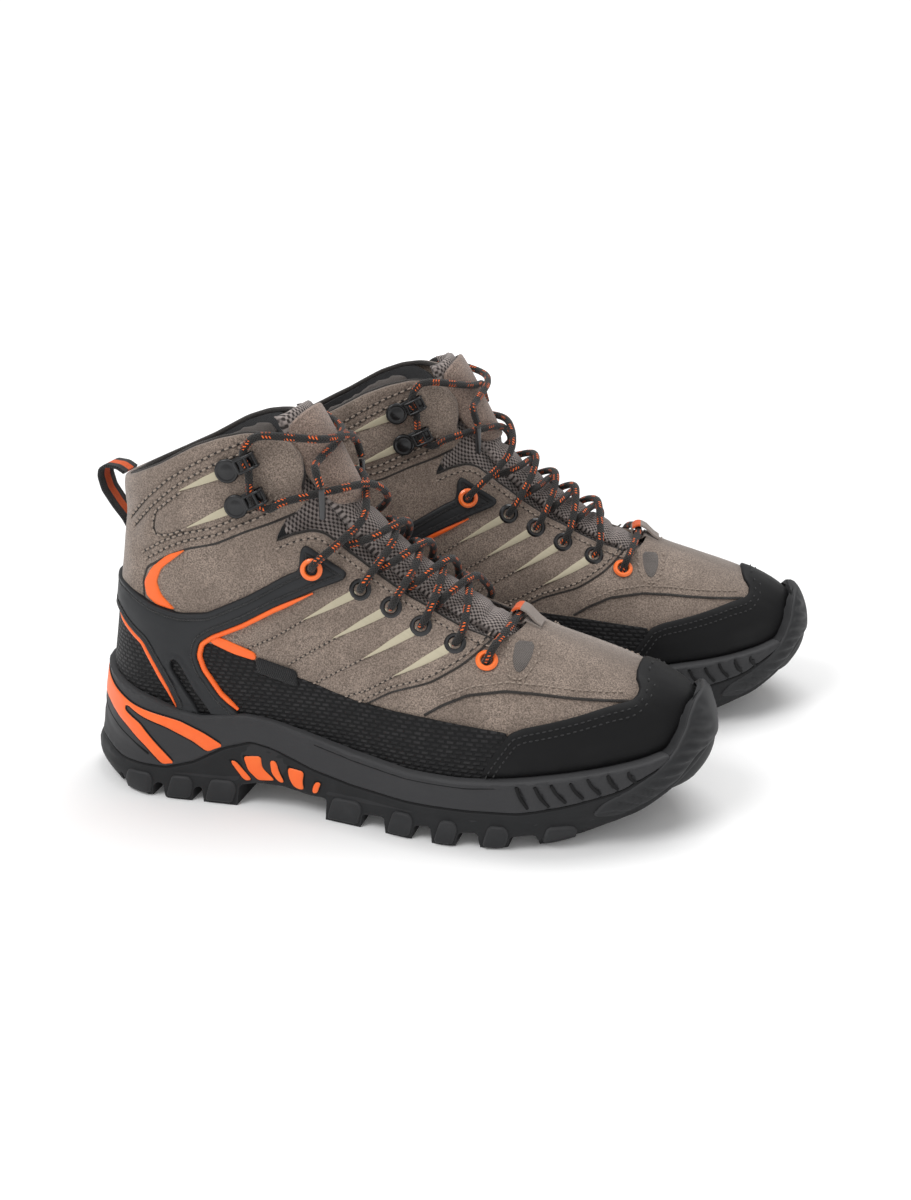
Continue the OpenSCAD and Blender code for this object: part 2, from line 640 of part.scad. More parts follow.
// Over the tongue from row k on one side, then under the eyestay to row k + 1 on the other
function over_to(k, side, h) =
    [tongue_point(row_s[k] + 0.02, 0.75 * side, h + 0.6), tongue_point((row_s[k] + row_s[k + 1]) / 2, 0, h),
     tongue_point(row_s[k + 1] - 0.02, -0.95 * side, lay_low),
     on(lace_rows[k + 1] + 1.2 * throat_way, -side, -lace_under - 0.8)];
// From the throat in behind the lower hook, up, and out from behind the upper one
function round_hooks(side) =
    [for (p = [by_hook(stud_at[0], 18, -7), by_hook(stud_at[0], 10.5, -6.6), by_hook(stud_at[0], 7, -2),
        by_hook(stud_at[0], 7, 3), by_hook(stud_at[1], 7, -3), by_hook(stud_at[1], 7, 2),
        by_hook(stud_at[1], 10.5, 6.6), by_hook(stud_at[1], 17, 7)]) on(p, side, bend)];
// Half of the lace, from the lowest eyelet on one side up to its hooks and its end
function half_lace(side) =
    let (e = lace_rows, first = side > 0 ? lay_high : lay_low, second = side > 0 ? lay_low : lay_high)
    concat([on(e[0] + 0.75 * throat_way, side, lace_over), on(e[0] - 0.06 * throat_way, side, -0.5),
            on(e[0] + 0.1 * throat_way, side, -lace_under), on((e[0] + e[1]) / 2, side, -lace_under - 0.4)],
        up_through(e[1], side, 0), over_to(1, side, first),
        up_through(e[2], -side, 0), over_to(2, -side, second),
        up_through(e[3], side, 0), over_to(3, side, first),
        up_through(e[4], -side, 0), over_to(4, -side, second),
        up_through(e[5], side, cage_t),
        [tongue_point(0.69, 0.8 * side, first + 1), tongue_point(0.755, 0, first + 0.6),
         tongue_point(0.8, -0.8 * side, lay_low + 3)],
        round_hooks(-side),
        [tongue_point(knot_s + 0.02, -0.6 * side, first + 3),
         tongue_point(knot_s, 0.1 * side, first + 2), tongue_point(knot_s - 0.02, 0.8 * side, first + 5),
         lace_end(side) + [-2, 0, 7], lace_end(side)]);
function lace_end(side) = tongue_point(0.85, 0.9 * side, 13) + [1, 3 * side, -4];

module lace() {
    color("#2e2e31")
        tube(concat(reversed(half_lace(LATERAL)), [tongue_point(keeper_s, 0, keeper_rise)],
            half_lace(MEDIAL)), lace_r);
}

tip_l = 14;
module lace_tips() {
    color("#1c1c1e")
        for (side = [LATERAL, MEDIAL])
            translate(lace_end(side) - [0, 0, tip_l + lace_r + 2 * gap])
                cylinder(h = tip_l, r = 1.5, $fn = 16);
}

// The lowest bar of the lace runs through this loop, whose strap is sewn to the vamp
keeper_s = 0.11;
keeper_r = 4.2;
keeper_rise = keeper_r + 0.8;
keeper_w = 9;
keeper_strap = [[0, 3.9], [8, 2.5], [19, -2.5], [18.4, -4], [10, -0.6], [0, -2]];
module lace_keeper() {
    centre = tongue_point(keeper_s, 0, keeper_rise);
    color("#9a938c")
        translate(centre)
            rotate([90, 0, 0])
                linear_extrude(height = keeper_w, center = true)
                    difference() {
                        union() {
                            circle(r = keeper_r, $fn = 32);
                            polygon(keeper_strap);
                        }
                        circle(r = lace_r + 1, $fn = 32);
                    }
}

// ---------------------------------------------------------------- heel loop and side tag
loop_top = [29.5, 151];
loop_foot = [27.5, 126];
loop_out = 15;
loop_w = 14;
web_t = 1.8;
module pull_loop() {
    outer = [[loop_top[0] - 1.5, loop_top[1]], [18, 153], [loop_top[0] - loop_out, 148], [15, 142],
        [23, 130], [loop_foot[0] - 1.5, loop_foot[1]]];
    inner = [for (p = reversed([for (i = [1:4]) outer[i]])) p + web_t * unit([26, 140] - p)];
    color("#c2571f")
        translate([0, swing(0), 0])
            rotate([90, 0, 0])
                linear_extrude(height = loop_w, center = true)
                    polygon(concat(outer, [[loop_foot[0] - 1.5, loop_foot[1] + 3]], inner,
                        [[loop_top[0] - 1.5, loop_top[1] - 2]]));
}

tag_outline = [[101, 74.5], [121, 69.5], [121.5, 62], [101.5, 67]];
module side_tag() {
    color("#0f0f10")
        panel(tag_outline, rand_t + 3 * gap, rand_t + 1, LATERAL);
}

// ---------------------------------------------------------------- the pair
// Puts a boot in its place: side = LATERAL stands it on the right, MEDIAL on the left
module stand(side) {
    scale(size_k)
        translate([side * stagger / 2, side * pair_spacing / 2, 0])
            rotate([0, 0, side * toe_out])
                translate([-turn_x, 0, 0])
                    children();
}

module right_boot() {
    stand(LATERAL) children();
}

module left_boot() {
    stand(MEDIAL) mirror([0, 1, 0]) children();
}

right_boot() outsole();  // right_outsole
right_boot() midsole();  // right_midsole
right_boot() heel_insert();  // right_heel_insert
right_boot() arch_ribs();  // right_arch_ribs
right_boot() shank();  // right_shank
right_boot() insole_board();  // right_insole_board
right_boot() footbed();  // right_footbed
right_boot() vamp();  // right_vamp
right_boot() quarters();  // right_quarters
right_boot() ankle_cuff();  // right_ankle_cuff
right_boot() mudguard();  // right_mudguard
right_boot() toe_cap();  // right_toe_cap
right_boot() heel_cage();  // right_heel_cage
right_boot() piping();  // right_piping
right_boot() toe_puff();  // right_toe_puff
right_boot() heel_counter();  // right_heel_counter
right_boot() lining();  // right_lining
right_boot() collar_pad();  // right_collar_pad
right_boot() tongue();  // right_tongue
right_boot() tongue_patch();  // right_tongue_patch
right_boot() black_eyelets();  // right_black_eyelets
right_boot() orange_eyelets();  // right_orange_eyelets
right_boot() lace_hooks();  // right_lace_hooks
right_boot() hook_rivets();  // right_hook_rivets
right_boot() claw_stripes();  // right_claw_stripes
right_boot() lace();  // right_lace
right_boot() lace_tips();  // right_lace_tips
right_boot() lace_keeper();  // right_lace_keeper
right_boot() pull_loop();  // right_pull_loop
right_boot() side_tag();  // right_side_tag

left_boot() outsole();  // left_outsole
left_boot() midsole();  // left_midsole
left_boot() heel_insert();  // left_heel_insert
left_boot() arch_ribs();  // left_arch_ribs
left_boot() shank();  // left_shank
left_boot() insole_board();  // left_insole_board
left_boot() footbed();  // left_footbed
left_boot() vamp();  // left_vamp
left_boot() quarters();  // left_quarters
left_boot() ankle_cuff();  // left_ankle_cuff
left_boot() mudguard();  // left_mudguard
left_boot() toe_cap();  // left_toe_cap
left_boot() heel_cage();  // left_heel_cage
left_boot() piping();  // left_piping
left_boot() toe_puff();  // left_toe_puff
left_boot() heel_counter();  // left_heel_counter
left_boot() lining();  // left_lining
left_boot() collar_pad();  // left_collar_pad
left_boot() tongue();  // left_tongue
left_boot() tongue_patch();  // left_tongue_patch
left_boot() black_eyelets();  // left_black_eyelets
left_boot() orange_eyelets();  // left_orange_eyelets
left_boot() lace_hooks();  // left_lace_hooks
left_boot() hook_rivets();  // left_hook_rivets
left_boot() claw_stripes();  // left_claw_stripes
left_boot() lace();  // left_lace
left_boot() lace_tips();  // left_lace_tips
left_boot() lace_keeper();  // left_lace_keeper
left_boot() pull_loop();  // left_pull_loop
left_boot() side_tag();  // left_side_tag
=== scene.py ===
"""Looks of a pair of hiking boots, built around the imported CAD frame.

Every piece is built once, as a right boot in its own frame in millimetres (X heel to toe, Y towards the
inner side, Z up), and then placed for both boots, the left one mirrored.
"""

import math

import bpy
import numpy as np
from mathutils import Matrix, Vector
from mathutils.geometry import delaunay_2d_cdt


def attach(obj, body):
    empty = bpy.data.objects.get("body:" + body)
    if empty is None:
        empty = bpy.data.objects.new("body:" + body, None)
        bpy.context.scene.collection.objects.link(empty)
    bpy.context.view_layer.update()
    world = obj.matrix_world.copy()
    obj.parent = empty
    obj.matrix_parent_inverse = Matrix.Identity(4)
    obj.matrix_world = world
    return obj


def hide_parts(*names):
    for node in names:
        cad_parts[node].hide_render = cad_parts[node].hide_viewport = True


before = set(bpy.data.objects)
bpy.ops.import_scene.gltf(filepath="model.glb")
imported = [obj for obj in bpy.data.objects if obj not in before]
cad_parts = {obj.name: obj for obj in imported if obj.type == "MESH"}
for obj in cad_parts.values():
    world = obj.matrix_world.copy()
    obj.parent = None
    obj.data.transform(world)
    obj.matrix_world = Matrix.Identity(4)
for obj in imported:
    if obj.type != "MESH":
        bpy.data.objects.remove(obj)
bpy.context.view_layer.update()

LATERAL, MEDIAL = -1, 1
SPACING, STAGGER, TOE_OUT, TURN_X = 126.0, 43.0, 5.25, 152.65


# ---------------------------------------------------------------- curves
def curve(points):
    """Smooth function through the points [(t, value), ...]."""
    t, v = np.array(points, float).T
    s = np.diff(v) / np.diff(t)
    m = np.concatenate([[s[0]], np.zeros(len(t) - 2), [s[-1]]])
    for i in range(1, len(t) - 1):
        if s[i - 1] * s[i] > 0:
            a, b = t[i] - t[i - 1], t[i + 1] - t[i]
            m[i] = (a * s[i] + b * s[i - 1]) / (a + b)

    def value(q):
        q = np.asarray(q, float)
        i = np.clip(np.searchsorted(t, q, side="right") - 1, 0, len(t) - 2)
        h = t[i + 1] - t[i]
        k = np.clip((q - t[i]) / h, 0, 1)
        return ((2 * k**3 - 3 * k**2 + 1) * v[i] + (k**3 - 2 * k**2 + k) * h * m[i]
                + (3 * k**2 - 2 * k**3) * v[i + 1] + (k**3 - k**2) * h * m[i + 1])

    return value


def ease(a, b, t):
    s = np.clip((np.asarray(t, float) - a) / (b - a), 0, 1)
    return s * s * (3 - 2 * s)


def lobe(t):
    return np.sqrt(1 - (1 - np.clip(t, 0, 1)) ** 2.1)


def swing(x):
    return 5 * np.clip((x - 90) / 200, 0, 1.2)


def unit(v):
    v = np.asarray(v, float)
    return v / np.maximum(np.linalg.norm(v, axis=-1, keepdims=True), 1e-12)


def path_length(p, closed=False):
    q = np.vstack([p, p[:1]]) if closed else p
    return np.concatenate([[0], np.cumsum(np.linalg.norm(np.diff(q, axis=0), axis=1))])


def resample(p, step, closed=False):
    p = np.asarray(p, float)
    q = np.vstack([p, p[:1]]) if closed else p
    s = path_length(p, closed)
    n = max(2, int(round(s[-1] / step)))
    t = np.linspace(0, s[-1], n + 1)
    r = np.column_stack([np.interp(t, s, q[:, k]) for k in range(q.shape[1])])
    return r[:-1] if closed else r


def rounded(p, closed=False, longest=6.0, passes=2):
    """Corners cut smoothly; long edges are split first so that only their ends are touched."""
    p = np.asarray(p, float)
    q = np.vstack([p, p[:1]]) if closed else p
    split = []
    for a, b in zip(q[:-1], q[1:]):
        n = max(1, int(math.ceil(np.linalg.norm(b - a) / longest)))
        split += [a + (b - a) * k / n for k in range(n)]
    p = np.array(split if closed else split + [q[-1]])
    for _ in range(passes):
        if closed:
            nxt = np.roll(p, -1, axis=0)
            p = np.stack([0.75 * p + 0.25 * nxt, 0.25 * p + 0.75 * nxt], 1).reshape(-1, p.shape[1])
        else:
            cut = np.stack([0.75 * p[:-1] + 0.25 * p[1:], 0.25 * p[:-1] + 0.75 * p[1:]], 1).reshape(-1,
                                                            p.shape[1])
            p = np.vstack([p[:1], cut, p[-1:]])
    return p


def beside(p, d):
    """The path moved sideways by d, to the left of its direction."""
    p = np.asarray(p, float)
    t = unit(np.gradient(p, axis=0))
    return p + d * np.column_stack([-t[:, 1], t[:, 0]])


def spline(points, n):
    """Catmull-Rom path through the points, n pieces between two of them."""
    p = np.asarray(points, float)
    p = np.vstack([p[:1], p, p[-1:]])
    out = []
    for i in range(1, len(p) - 2):
        for t in np.arange(n) / n:
            a, b, c, d = p[i - 1:i + 3]
            out.append(0.5 * (2 * b + (c - a) * t + (2 * a - 5 * b + 4 * c - d) * t**2
                              + (3 * b - a - 3 * c + d) * t**3))
    return np.array(out + [p[-2]])


def distance(x, z, lines):
    """Distance of the points (x, z) from the nearest of the polylines."""
    x, z = np.asarray(x, float), np.asarray(z, float)
    best = np.full(x.shape, 1e9)
    for line in lines:
        line = np.asarray(line, float)
        for (ax, az), (bx, bz) in zip(line[:-1], line[1:]):
            dx, dz = bx - ax, bz - az
            t = np.clip(((x - ax) * dx + (z - az) * dz) / max(dx * dx + dz * dz, 1e-9), 0, 1)
            best = np.minimum(best, np.hypot(x - ax - t * dx, z - az - t * dz))
    return best


def inside(u, v, loops):
    """True for points inside an odd number of the closed loops."""
    odd = np.zeros(u.shape, bool)
    for loop in loops:
        for (a, b), (c, d) in zip(loop, np.roll(loop, -1, axis=0)):
            if b != d:
                odd ^= ((b > v) != (d > v)) & (u < (c - a) * (v - b) / (d - b) + a)
    return odd


# ---------------------------------------------------------------- the two swept surfaces of a boot
class Surface:
    """A wall around the boot. A point is (a, z): a runs in degrees from the heel (0) along the outer side
    to the front (180) and back along the inner side."""
    def __init__(self, back, front, half):
        self.back, self.front, self.half = back, front, half
        a = np.linspace(0, 180, 361)
        p = self.point(a, np.full(a.shape, 45.0))
        self.arc_a, self.arc_s = a, path_length(p)

    def point(self, a, z):
        a, z = np.asarray(a, float) % 360, np.asarray(z, float)
        b, f = self.back(z), self.front(z)
        x = b + (f - b) * (1 - np.cos(np.radians(a))) / 2
        side = np.where(a <= 180, LATERAL, MEDIAL)
        return np.stack([x, side * self.half(x, z, side) + swing(x), z], -1)

    def normal(self, a, z):
        return unit(np.cross(self.point(a + 2, z) - self.point(a - 2, z),
                             self.point(a, z + 0.5) - self.point(a, z - 0.5)))

    def raised(self, a, z, t):
        return self.point(a, z) + np.asarray(t)[..., None] * self.normal(a, z)

    def angle(self, x, z):
        b, f = self.back(z), self.front(z)
        return np.degrees(np.arccos(np.clip(1 - 2 * (x - b) / (f - b), -1, 1)))

    def arc(self, a):
        return np.interp(a, self.arc_a, self.arc_s)

    def at(self, x, z, side, t=0.0):
        """A point of the side view, t outside the surface."""
        y = self.half(x, z, side)
        s = np.broadcast_to(np.asarray(side, float), np.shape(y))
        n = unit(np.stack([-(self.half(x + 0.5, z, side) - self.half(x - 0.5, z, side)), s,
                           -(self.half(x, z + 0.5, side) - self.half(x, z - 0.5, side))], -1))
        return np.stack([x + 0 * y, s * y + swing(x), z + 0 * y], -1) + t * n

    def facing(self, x, z, side):
        return self.at(x, z, side, 1.0) - self.at(x, z, side)


lateral_plan = curve([(0, 28), (40, 34), (90, 34), (140, 39), (190, 49), (220, 50), (260, 46), (300, 38)])
medial_plan = curve([(0, 28), (40, 34), (90, 31), (140, 32), (190, 43.5), (225, 48.5), (260, 47), (300, 40)])
ankle_plan = curve([(0, 30), (40, 33), (80, 32), (120, 30), (160, 28), (220, 26)])
nose_length = curve([(12, 70), (50, 75), (70, 95), (90, 110), (116, 98), (138, 68), (160, 50), (196, 42)])
tail_length = curve([(12, 42), (60, 40), (120, 42), (196, 45)])
heel_line = curve([(12, 14), (30, 11), (50, 13), (75, 18), (100, 23), (120, 27), (140, 30), (160, 30), (196,
                                                            28)])
front_line = curve([(12, 282), (30, 293), (44, 298), (54, 296.5), (60, 291.5), (66, 281.5), (71, 270), (77,
                                                            253),
                    (84, 234), (93, 213), (104, 194), (116, 177), (130, 159), (147, 143), (165, 131), (196,
                    114)])


def upper_half(x, z, side):
    k = ease(30, 120, z)
    plan = np.where(np.asarray(side) < 0, lateral_plan(x), medial_plan(x))
    return ((plan * (1 - k) + ankle_plan(x) * k) * lobe((front_line(z) - x) / nose_length(z))
            * lobe((x - heel_line(z)) / tail_length(z)))


sole_back = curve([(0, 10), (6, 3), (12, 0), (20, 3), (30, 5), (45, 8), (64, 12)])
sole_front = curve([(0, 262), (6, 276), (14, 290), (26, 301), (40, 305), (52, 303.5), (60, 300), (64, 297)])
sole_lateral = curve([(0, 33), (45, 39.5), (95, 38.5), (140, 44), (190, 54), (222, 55), (262, 51), (305, 43)])
sole_medial = curve([(0, 33), (45, 39.5), (95, 35.5), (140, 36.5), (190, 49), (225, 54), (262, 51), (305,
                                                            43)])


def sole_half(x, z, side):
    plan = np.where(np.asarray(side) < 0, sole_lateral(x), sole_medial(x))
    return ((plan + ease(30, 0, z) - 3 * ease(35, 64, z)) * lobe((sole_front(z) - x) / 72)
            * lobe((x - sole_back(z)) / 44))


UPPER = Surface(heel_line, front_line, upper_half)
SOLE = Surface(sole_back, sole_front, sole_half)

# ---------------------------------------------------------------- side-view lines, heel to toe
low_line = [(-8, 19), (15, 20), (28, 17), (53, 16), (67, 20), (84, 29), (97, 33), (108, 31), (128, 24),
            (148, 20),
            (175, 18), (205, 18), (228, 19), (249, 23), (270, 28), (289, 38)]
midsole_top = [(-8, 61), (8, 60), (25, 56), (49, 50), (60, 46), (72, 44), (95, 46.5), (108, 45), (129, 40.5),
               (149, 36), (175, 32.5), (200, 32), (217, 33), (239, 36), (260, 38), (280, 40), (290, 42)]
bumper_edge = [(289, 38), (290, 42), (294, 51), (295, 57), (296, 61.5)]
collar_line = [(-5, 150), (30, 150.5), (45, 156), (60, 162), (78, 171), (90, 175), (101, 177), (111, 176),
               (118, 172), (123, 165)]
cuff_front = [(124, 158), (123, 151), (126, 146), (121, 141)]
cuff_seam = [(46, 90), (46, 106), (49, 113), (61, 120), (71, 124), (85, 127), (99, 133), (111, 137), (121,
                                                            141)]
throat_line = [(112, 127.8), (120, 131), (128, 132.5), (133, 131), (142, 123.5), (158, 111), (170, 103),
               (179, 98.5), (187, 94), (196, 90), (208, 86)]
throat_end = [(216, 86.5), (222, 90), (226, 100)]
eyestay_seam = [(146, 12), (150, 55), (153, 57), (167, 65), (185, 71), (198, 78), (206, 84), (208, 86)]
rand_top = [(-5, 90), (27, 87), (46, 80), (79, 79), (101, 72), (122, 66), (148, 59), (167, 57), (186, 56),
            (222, 53)]
cap_border = [(209, 33), (213, 40), (222, 53), (228, 55.5), (247, 59), (262, 62), (272, 63), (273.5, 66),
              (270, 69), (270, 84)]
cage_top = [(-8, 106), (22, 104), (37, 102), (52, 96), (65, 93), (78, 94), (98, 103), (116, 113), (122,
                                                            115.5),
            (123, 125), (125, 127), (133, 121), (143, 114)]
cage_low = [(142, 111), (128, 106), (110, 98), (95, 90), (80, 83.5), (74, 79.5), (72, 73), (74, 66), (82, 54),
            (90, 47), (92, 44)]
cage_back = [(58, 44), (60, 46.5), (56, 56), (51, 66), (45, 77), (29, 87), (-8, 93)]
cage_slit = [(58, 67), (60, 71), (63, 68), (69, 56), (76, 46), (78, 42), (72, 42), (69, 48.5), (63, 58)]
crescent = [(71, 124), (61, 120.5), (52, 113.5), (47, 106), (48, 99.5), (53, 96), (63, 94), (56, 101), (54,
                                                            107),
            (57, 113.5)]
vamp_seam = [(183, 57), (191, 62), (202, 67), (218, 69), (231, 68), (246, 66), (270, 63)]
collar_stitch = [(39, 134), (52, 146), (65, 156), (77, 163), (89, 169), (100, 173)]
inner_stitch = [(70, 150), (64, 146), (56, 140), (54, 133), (55, 129), (63, 130), (70, 133)]
tip_lines = [[(170, 73), (155, 64), (145, 60)], [(155, 79), (141, 71), (127, 63)], [(140, 86), (128, 79),
                                                            (117, 72)],
             [(126, 94), (118, 89), (110, 84), (91, 75)]]
stripe_tips = [(170, 73), (155, 79), (140, 86.5), (126, 94), (74, 135), (72, 152)]
stripe_roots = [(188, 82.2), (171.8, 88.3), (157.8, 95.8), (143.8, 103.2), (91.5, 142.7), (88.5, 158.8)]
orange_at = [(208, 79), (128, 116)]
black_at = [(193, 85), (177, 91.5), (163, 99), (149, 106.5)]
stud_at = [(98, 146), (95, 162)]
lace_rows = np.array([orange_at[0]] + black_at + [orange_at[1]], float)
lug_depth = 7


def notched(notches):
    return [p for a, b in notches for p in ((a, 0), (a + 1.5, lug_depth), (b - 0.5, lug_depth + 1), (b, 0))]


tread = ([(-3, 20), (-1, 8), (5, 4), (12, 1.5), (22, 0.4)] + notched([(22, 27), (44, 51), (65, 71)])
         + [(88, 0), (90, 11), (99, 13), (112, 13), (127, 11), (135, 11), (134, 0)]
         + notched([(152, 165), (178, 188), (199, 210), (222, 235)])
         + [(252, 1.5), (262, 5), (275, 11), (289, 22), (299, 33), (308, 44)])

# ---------------------------------------------------------------- the tongue's sheet
tongue_s = (0, 0.18, 0.36, 0.54, 0.7, 0.85, 1)
tongue_x = curve(list(zip(tongue_s, (228, 205, 184, 164, 147, 133, 121))))
tongue_z = curve(list(zip(tongue_s, (79, 92.5, 105, 119.5, 137, 158, 187))))
tongue_half = curve([(0, 12), (0.3, 13.5), (0.6, 14.5), (0.85, 16.5), (1, 20)])
tongue_radius = curve([(0, 26), (0.3, 21), (0.6, 17), (0.85, 15), (1, 19)])


def tongue_point(s, v, t):
    """s up the tongue, v across it from -1 to 1, t outwards from its outer face."""
    s, v, t = np.broadcast_arrays(*(np.asarray(q, float) for q in (s, v, t)))
    d = unit(np.stack([tongue_x(s + 0.01) - tongue_x(s - 0.01), tongue_z(s + 0.01) - tongue_z(s - 0.01)], -1))
    x, z, r = tongue_x(s), tongue_z(s), tongue_radius(s)
    a = v * tongue_half(s) / r
    depth = (r + t) * np.cos(a) - r
    return np.stack([x + d[..., 1] * depth, (r + t) * np.sin(a) + swing(x), z - d[..., 0] * depth], -1)


# ---------------------------------------------------------------- meshes
class Mesh:
    """Vertices in mm with, for each, a UV in mm and its distance from the piece's edge in mm."""
    def __init__(self):
        self.v, self.f, self.uv, self.edge, self.n = [], [], [], [], 0

    def add(self, v, f, uv=None, edge=None):
        v = np.asarray(v, float)
        self.v.append(v)
        self.f += [tuple(i + self.n for i in q) for q in f]
        self.uv.append(np.zeros((len(v), 2)) if uv is None else np.asarray(uv, float))
        self.edge.append(np.full(len(v), 9.0) if edge is None else np.asarray(edge, float))
        self.n += len(v)
        return self

    def done(self, weld=True):
        v, uv, edge, f = np.vstack(self.v), np.vstack(self.uv), np.concatenate(self.edge), self.f
        if weld:
            _, first, same = np.unique(np.round(v, 2), axis=0, return_index=True, return_inverse=True)
            same = same.ravel()
            v, uv, edge = v[first], uv[first], edge[first]
            kept, seen = [], set()
            for q in f:
                r = []
                for i in q:
                    j = int(same[i])
                    if not r or (j != r[-1] and j != r[0]):
                        r.append(j)
                if len(r) > 2 and frozenset(r) not in seen:
                    seen.add(frozenset(r))
                    kept.append(tuple(r))
            f = kept
        return v, f, uv, edge


def placed(v, side):
    k = -1 if side == "right" else 1
    x, y = v[:, 0] - TURN_X, v[:, 1] * -k
    a = math.radians(k * TOE_OUT)
    return np.column_stack([x * math.cos(a) - y * math.sin(a) + k * STAGGER / 2,
                            x * math.sin(a) + y * math.cos(a) + k * SPACING / 2, v[:, 2]]) / 1000


def emit(name, mesh, material, body="boot", nodes=(), sharp=48, weld=True):
    """Makes the piece for both boots, each riding on its own body."""
    v, f, uv, edge = mesh.done(weld) if isinstance(mesh, Mesh) else mesh
    made = []
    for side in ("right", "left"):
        faces = f if side == "right" else [tuple(reversed(q)) for q in f]
        data = bpy.data.meshes.new(f"{side}_{name}")
        data.from_pydata(placed(v, side).tolist(), [], faces)
        data.validate()
        loops = np.zeros(len(data.loops), np.int32)
        data.loops.foreach_get("vertex_index", loops)
        layer = data.uv_layers.new(name="UVMap")
        layer.data.foreach_set("uv", (uv[loops] / 1000).ravel().astype(np.float32))
        attribute = data.attributes.new("edge", "FLOAT", "POINT")
        attribute.data.foreach_set("value", edge.astype(np.float32))
        data.polygons.foreach_set("use_smooth", [True] * len(data.polygons))
        data.set_sharp_from_angle(angle=math.radians(sharp))
        data.materials.append(material)
        obj = bpy.data.objects.new(f"{side}_{name}", data)
        bpy.context.scene.collection.objects.link(obj)
        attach(obj, f"{side}_{body}")
        if nodes:
            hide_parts(*[f"{side}_{n}" for n in nodes])
        made.append(obj)
    return made


DOMAIN = 1.5      # mm of the flat domain per degree around the boot


def trace(surface, points, step):
    """A closed side-view outline in the flat domain, cut off at the boot's own heel and toe.
    Returns its points and a mark for each: 1 where it lies on the boot's line of symmetry."""
    p = resample(rounded(points, closed=True), step, closed=True)
    lo, hi = p[:, 0] - surface.back(p[:, 1]), surface.front(p[:, 1]) - p[:, 0]
    where = np.where(lo < 0, -1, np.where(hi < 0, 1, 0))
    a = surface.angle(p[:, 0], p[:, 1])
    out = []
    for i in range(len(p)):
        j = (i + 1) % len(p)
        if where[i] == 0:
            out.append((a[i], p[i, 1], 0))
        if where[i] != where[j] and 0 in (where[i], where[j]):
            w = where[i] or where[j]
            g = lo if w < 0 else hi
            k = g[i] / (g[i] - g[j])
            out.append((0 if w < 0 else 180, p[i, 1] + k * (p[j, 1] - p[i, 1]), 1))
    full = []
    for q, r in zip(out, out[1:] + out[:1]):
        full.append(q)
        if q[2] and r[2]:
            n = max(1, int(abs(q[1] - r[1]) / step))
            full += [(q[0] + (r[0] - q[0]) * k / n, q[1] + (r[1] - q[1]) * k / n, 1) for k in range(1, n)]
    full = np.array(full)
    flat = np.column_stack([full[:, 0] * DOMAIN, full[:, 1]])
    area = np.sum(flat[:, 0] * np.roll(flat[:, 1], -1) - np.roll(flat[:, 0], -1) * flat[:, 1])
    if area < 0:
        flat, full = flat[::-1], full[::-1]
    return flat, full[:, 2] > 0


def inset(surface, flat, axis, d, hole):
    """The outline moved inwards by d mm on the boot. Points on the line of symmetry stay on it."""
    nxt, prv = np.roll(flat, -1, axis=0) - flat, flat - np.roll(flat, 1, axis=0)
    turn = lambda e: unit(np.column_stack([-e[:, 1], e[:, 0]]))
    n_next, n_prev = turn(nxt), turn(prv)
    ax_next, ax_prev = axis & np.roll(axis, -1), axis & np.roll(axis, 1)
    n = n_next + n_prev
    n[ax_next] = n_prev[ax_next]
    n[ax_prev] = n_next[ax_prev]
    n[axis, 0] = 0
    n[ax_next & ax_prev] = 0
    n = unit(n) * np.where(np.linalg.norm(n, axis=1) > 1e-6, 1, 0)[:, None]
    if hole:
        n = -n
    a, z = flat[:, 0] / DOMAIN, flat[:, 1]
    pu = (surface.point(a + 0.5, z) - surface.point(a - 0.5, z)) / DOMAIN
    pz = surface.point(a, z + 0.5) - surface.point(a, z - 0.5)
    m = np.linalg.norm(n[:, :1] * pu + n[:, 1:] * pz, axis=1)
    out = flat + n * (d / np.maximum(m, 0.25))[:, None]
    out[:, 0] = np.clip(out[:, 0], 0, 180 * DOMAIN)
    return out


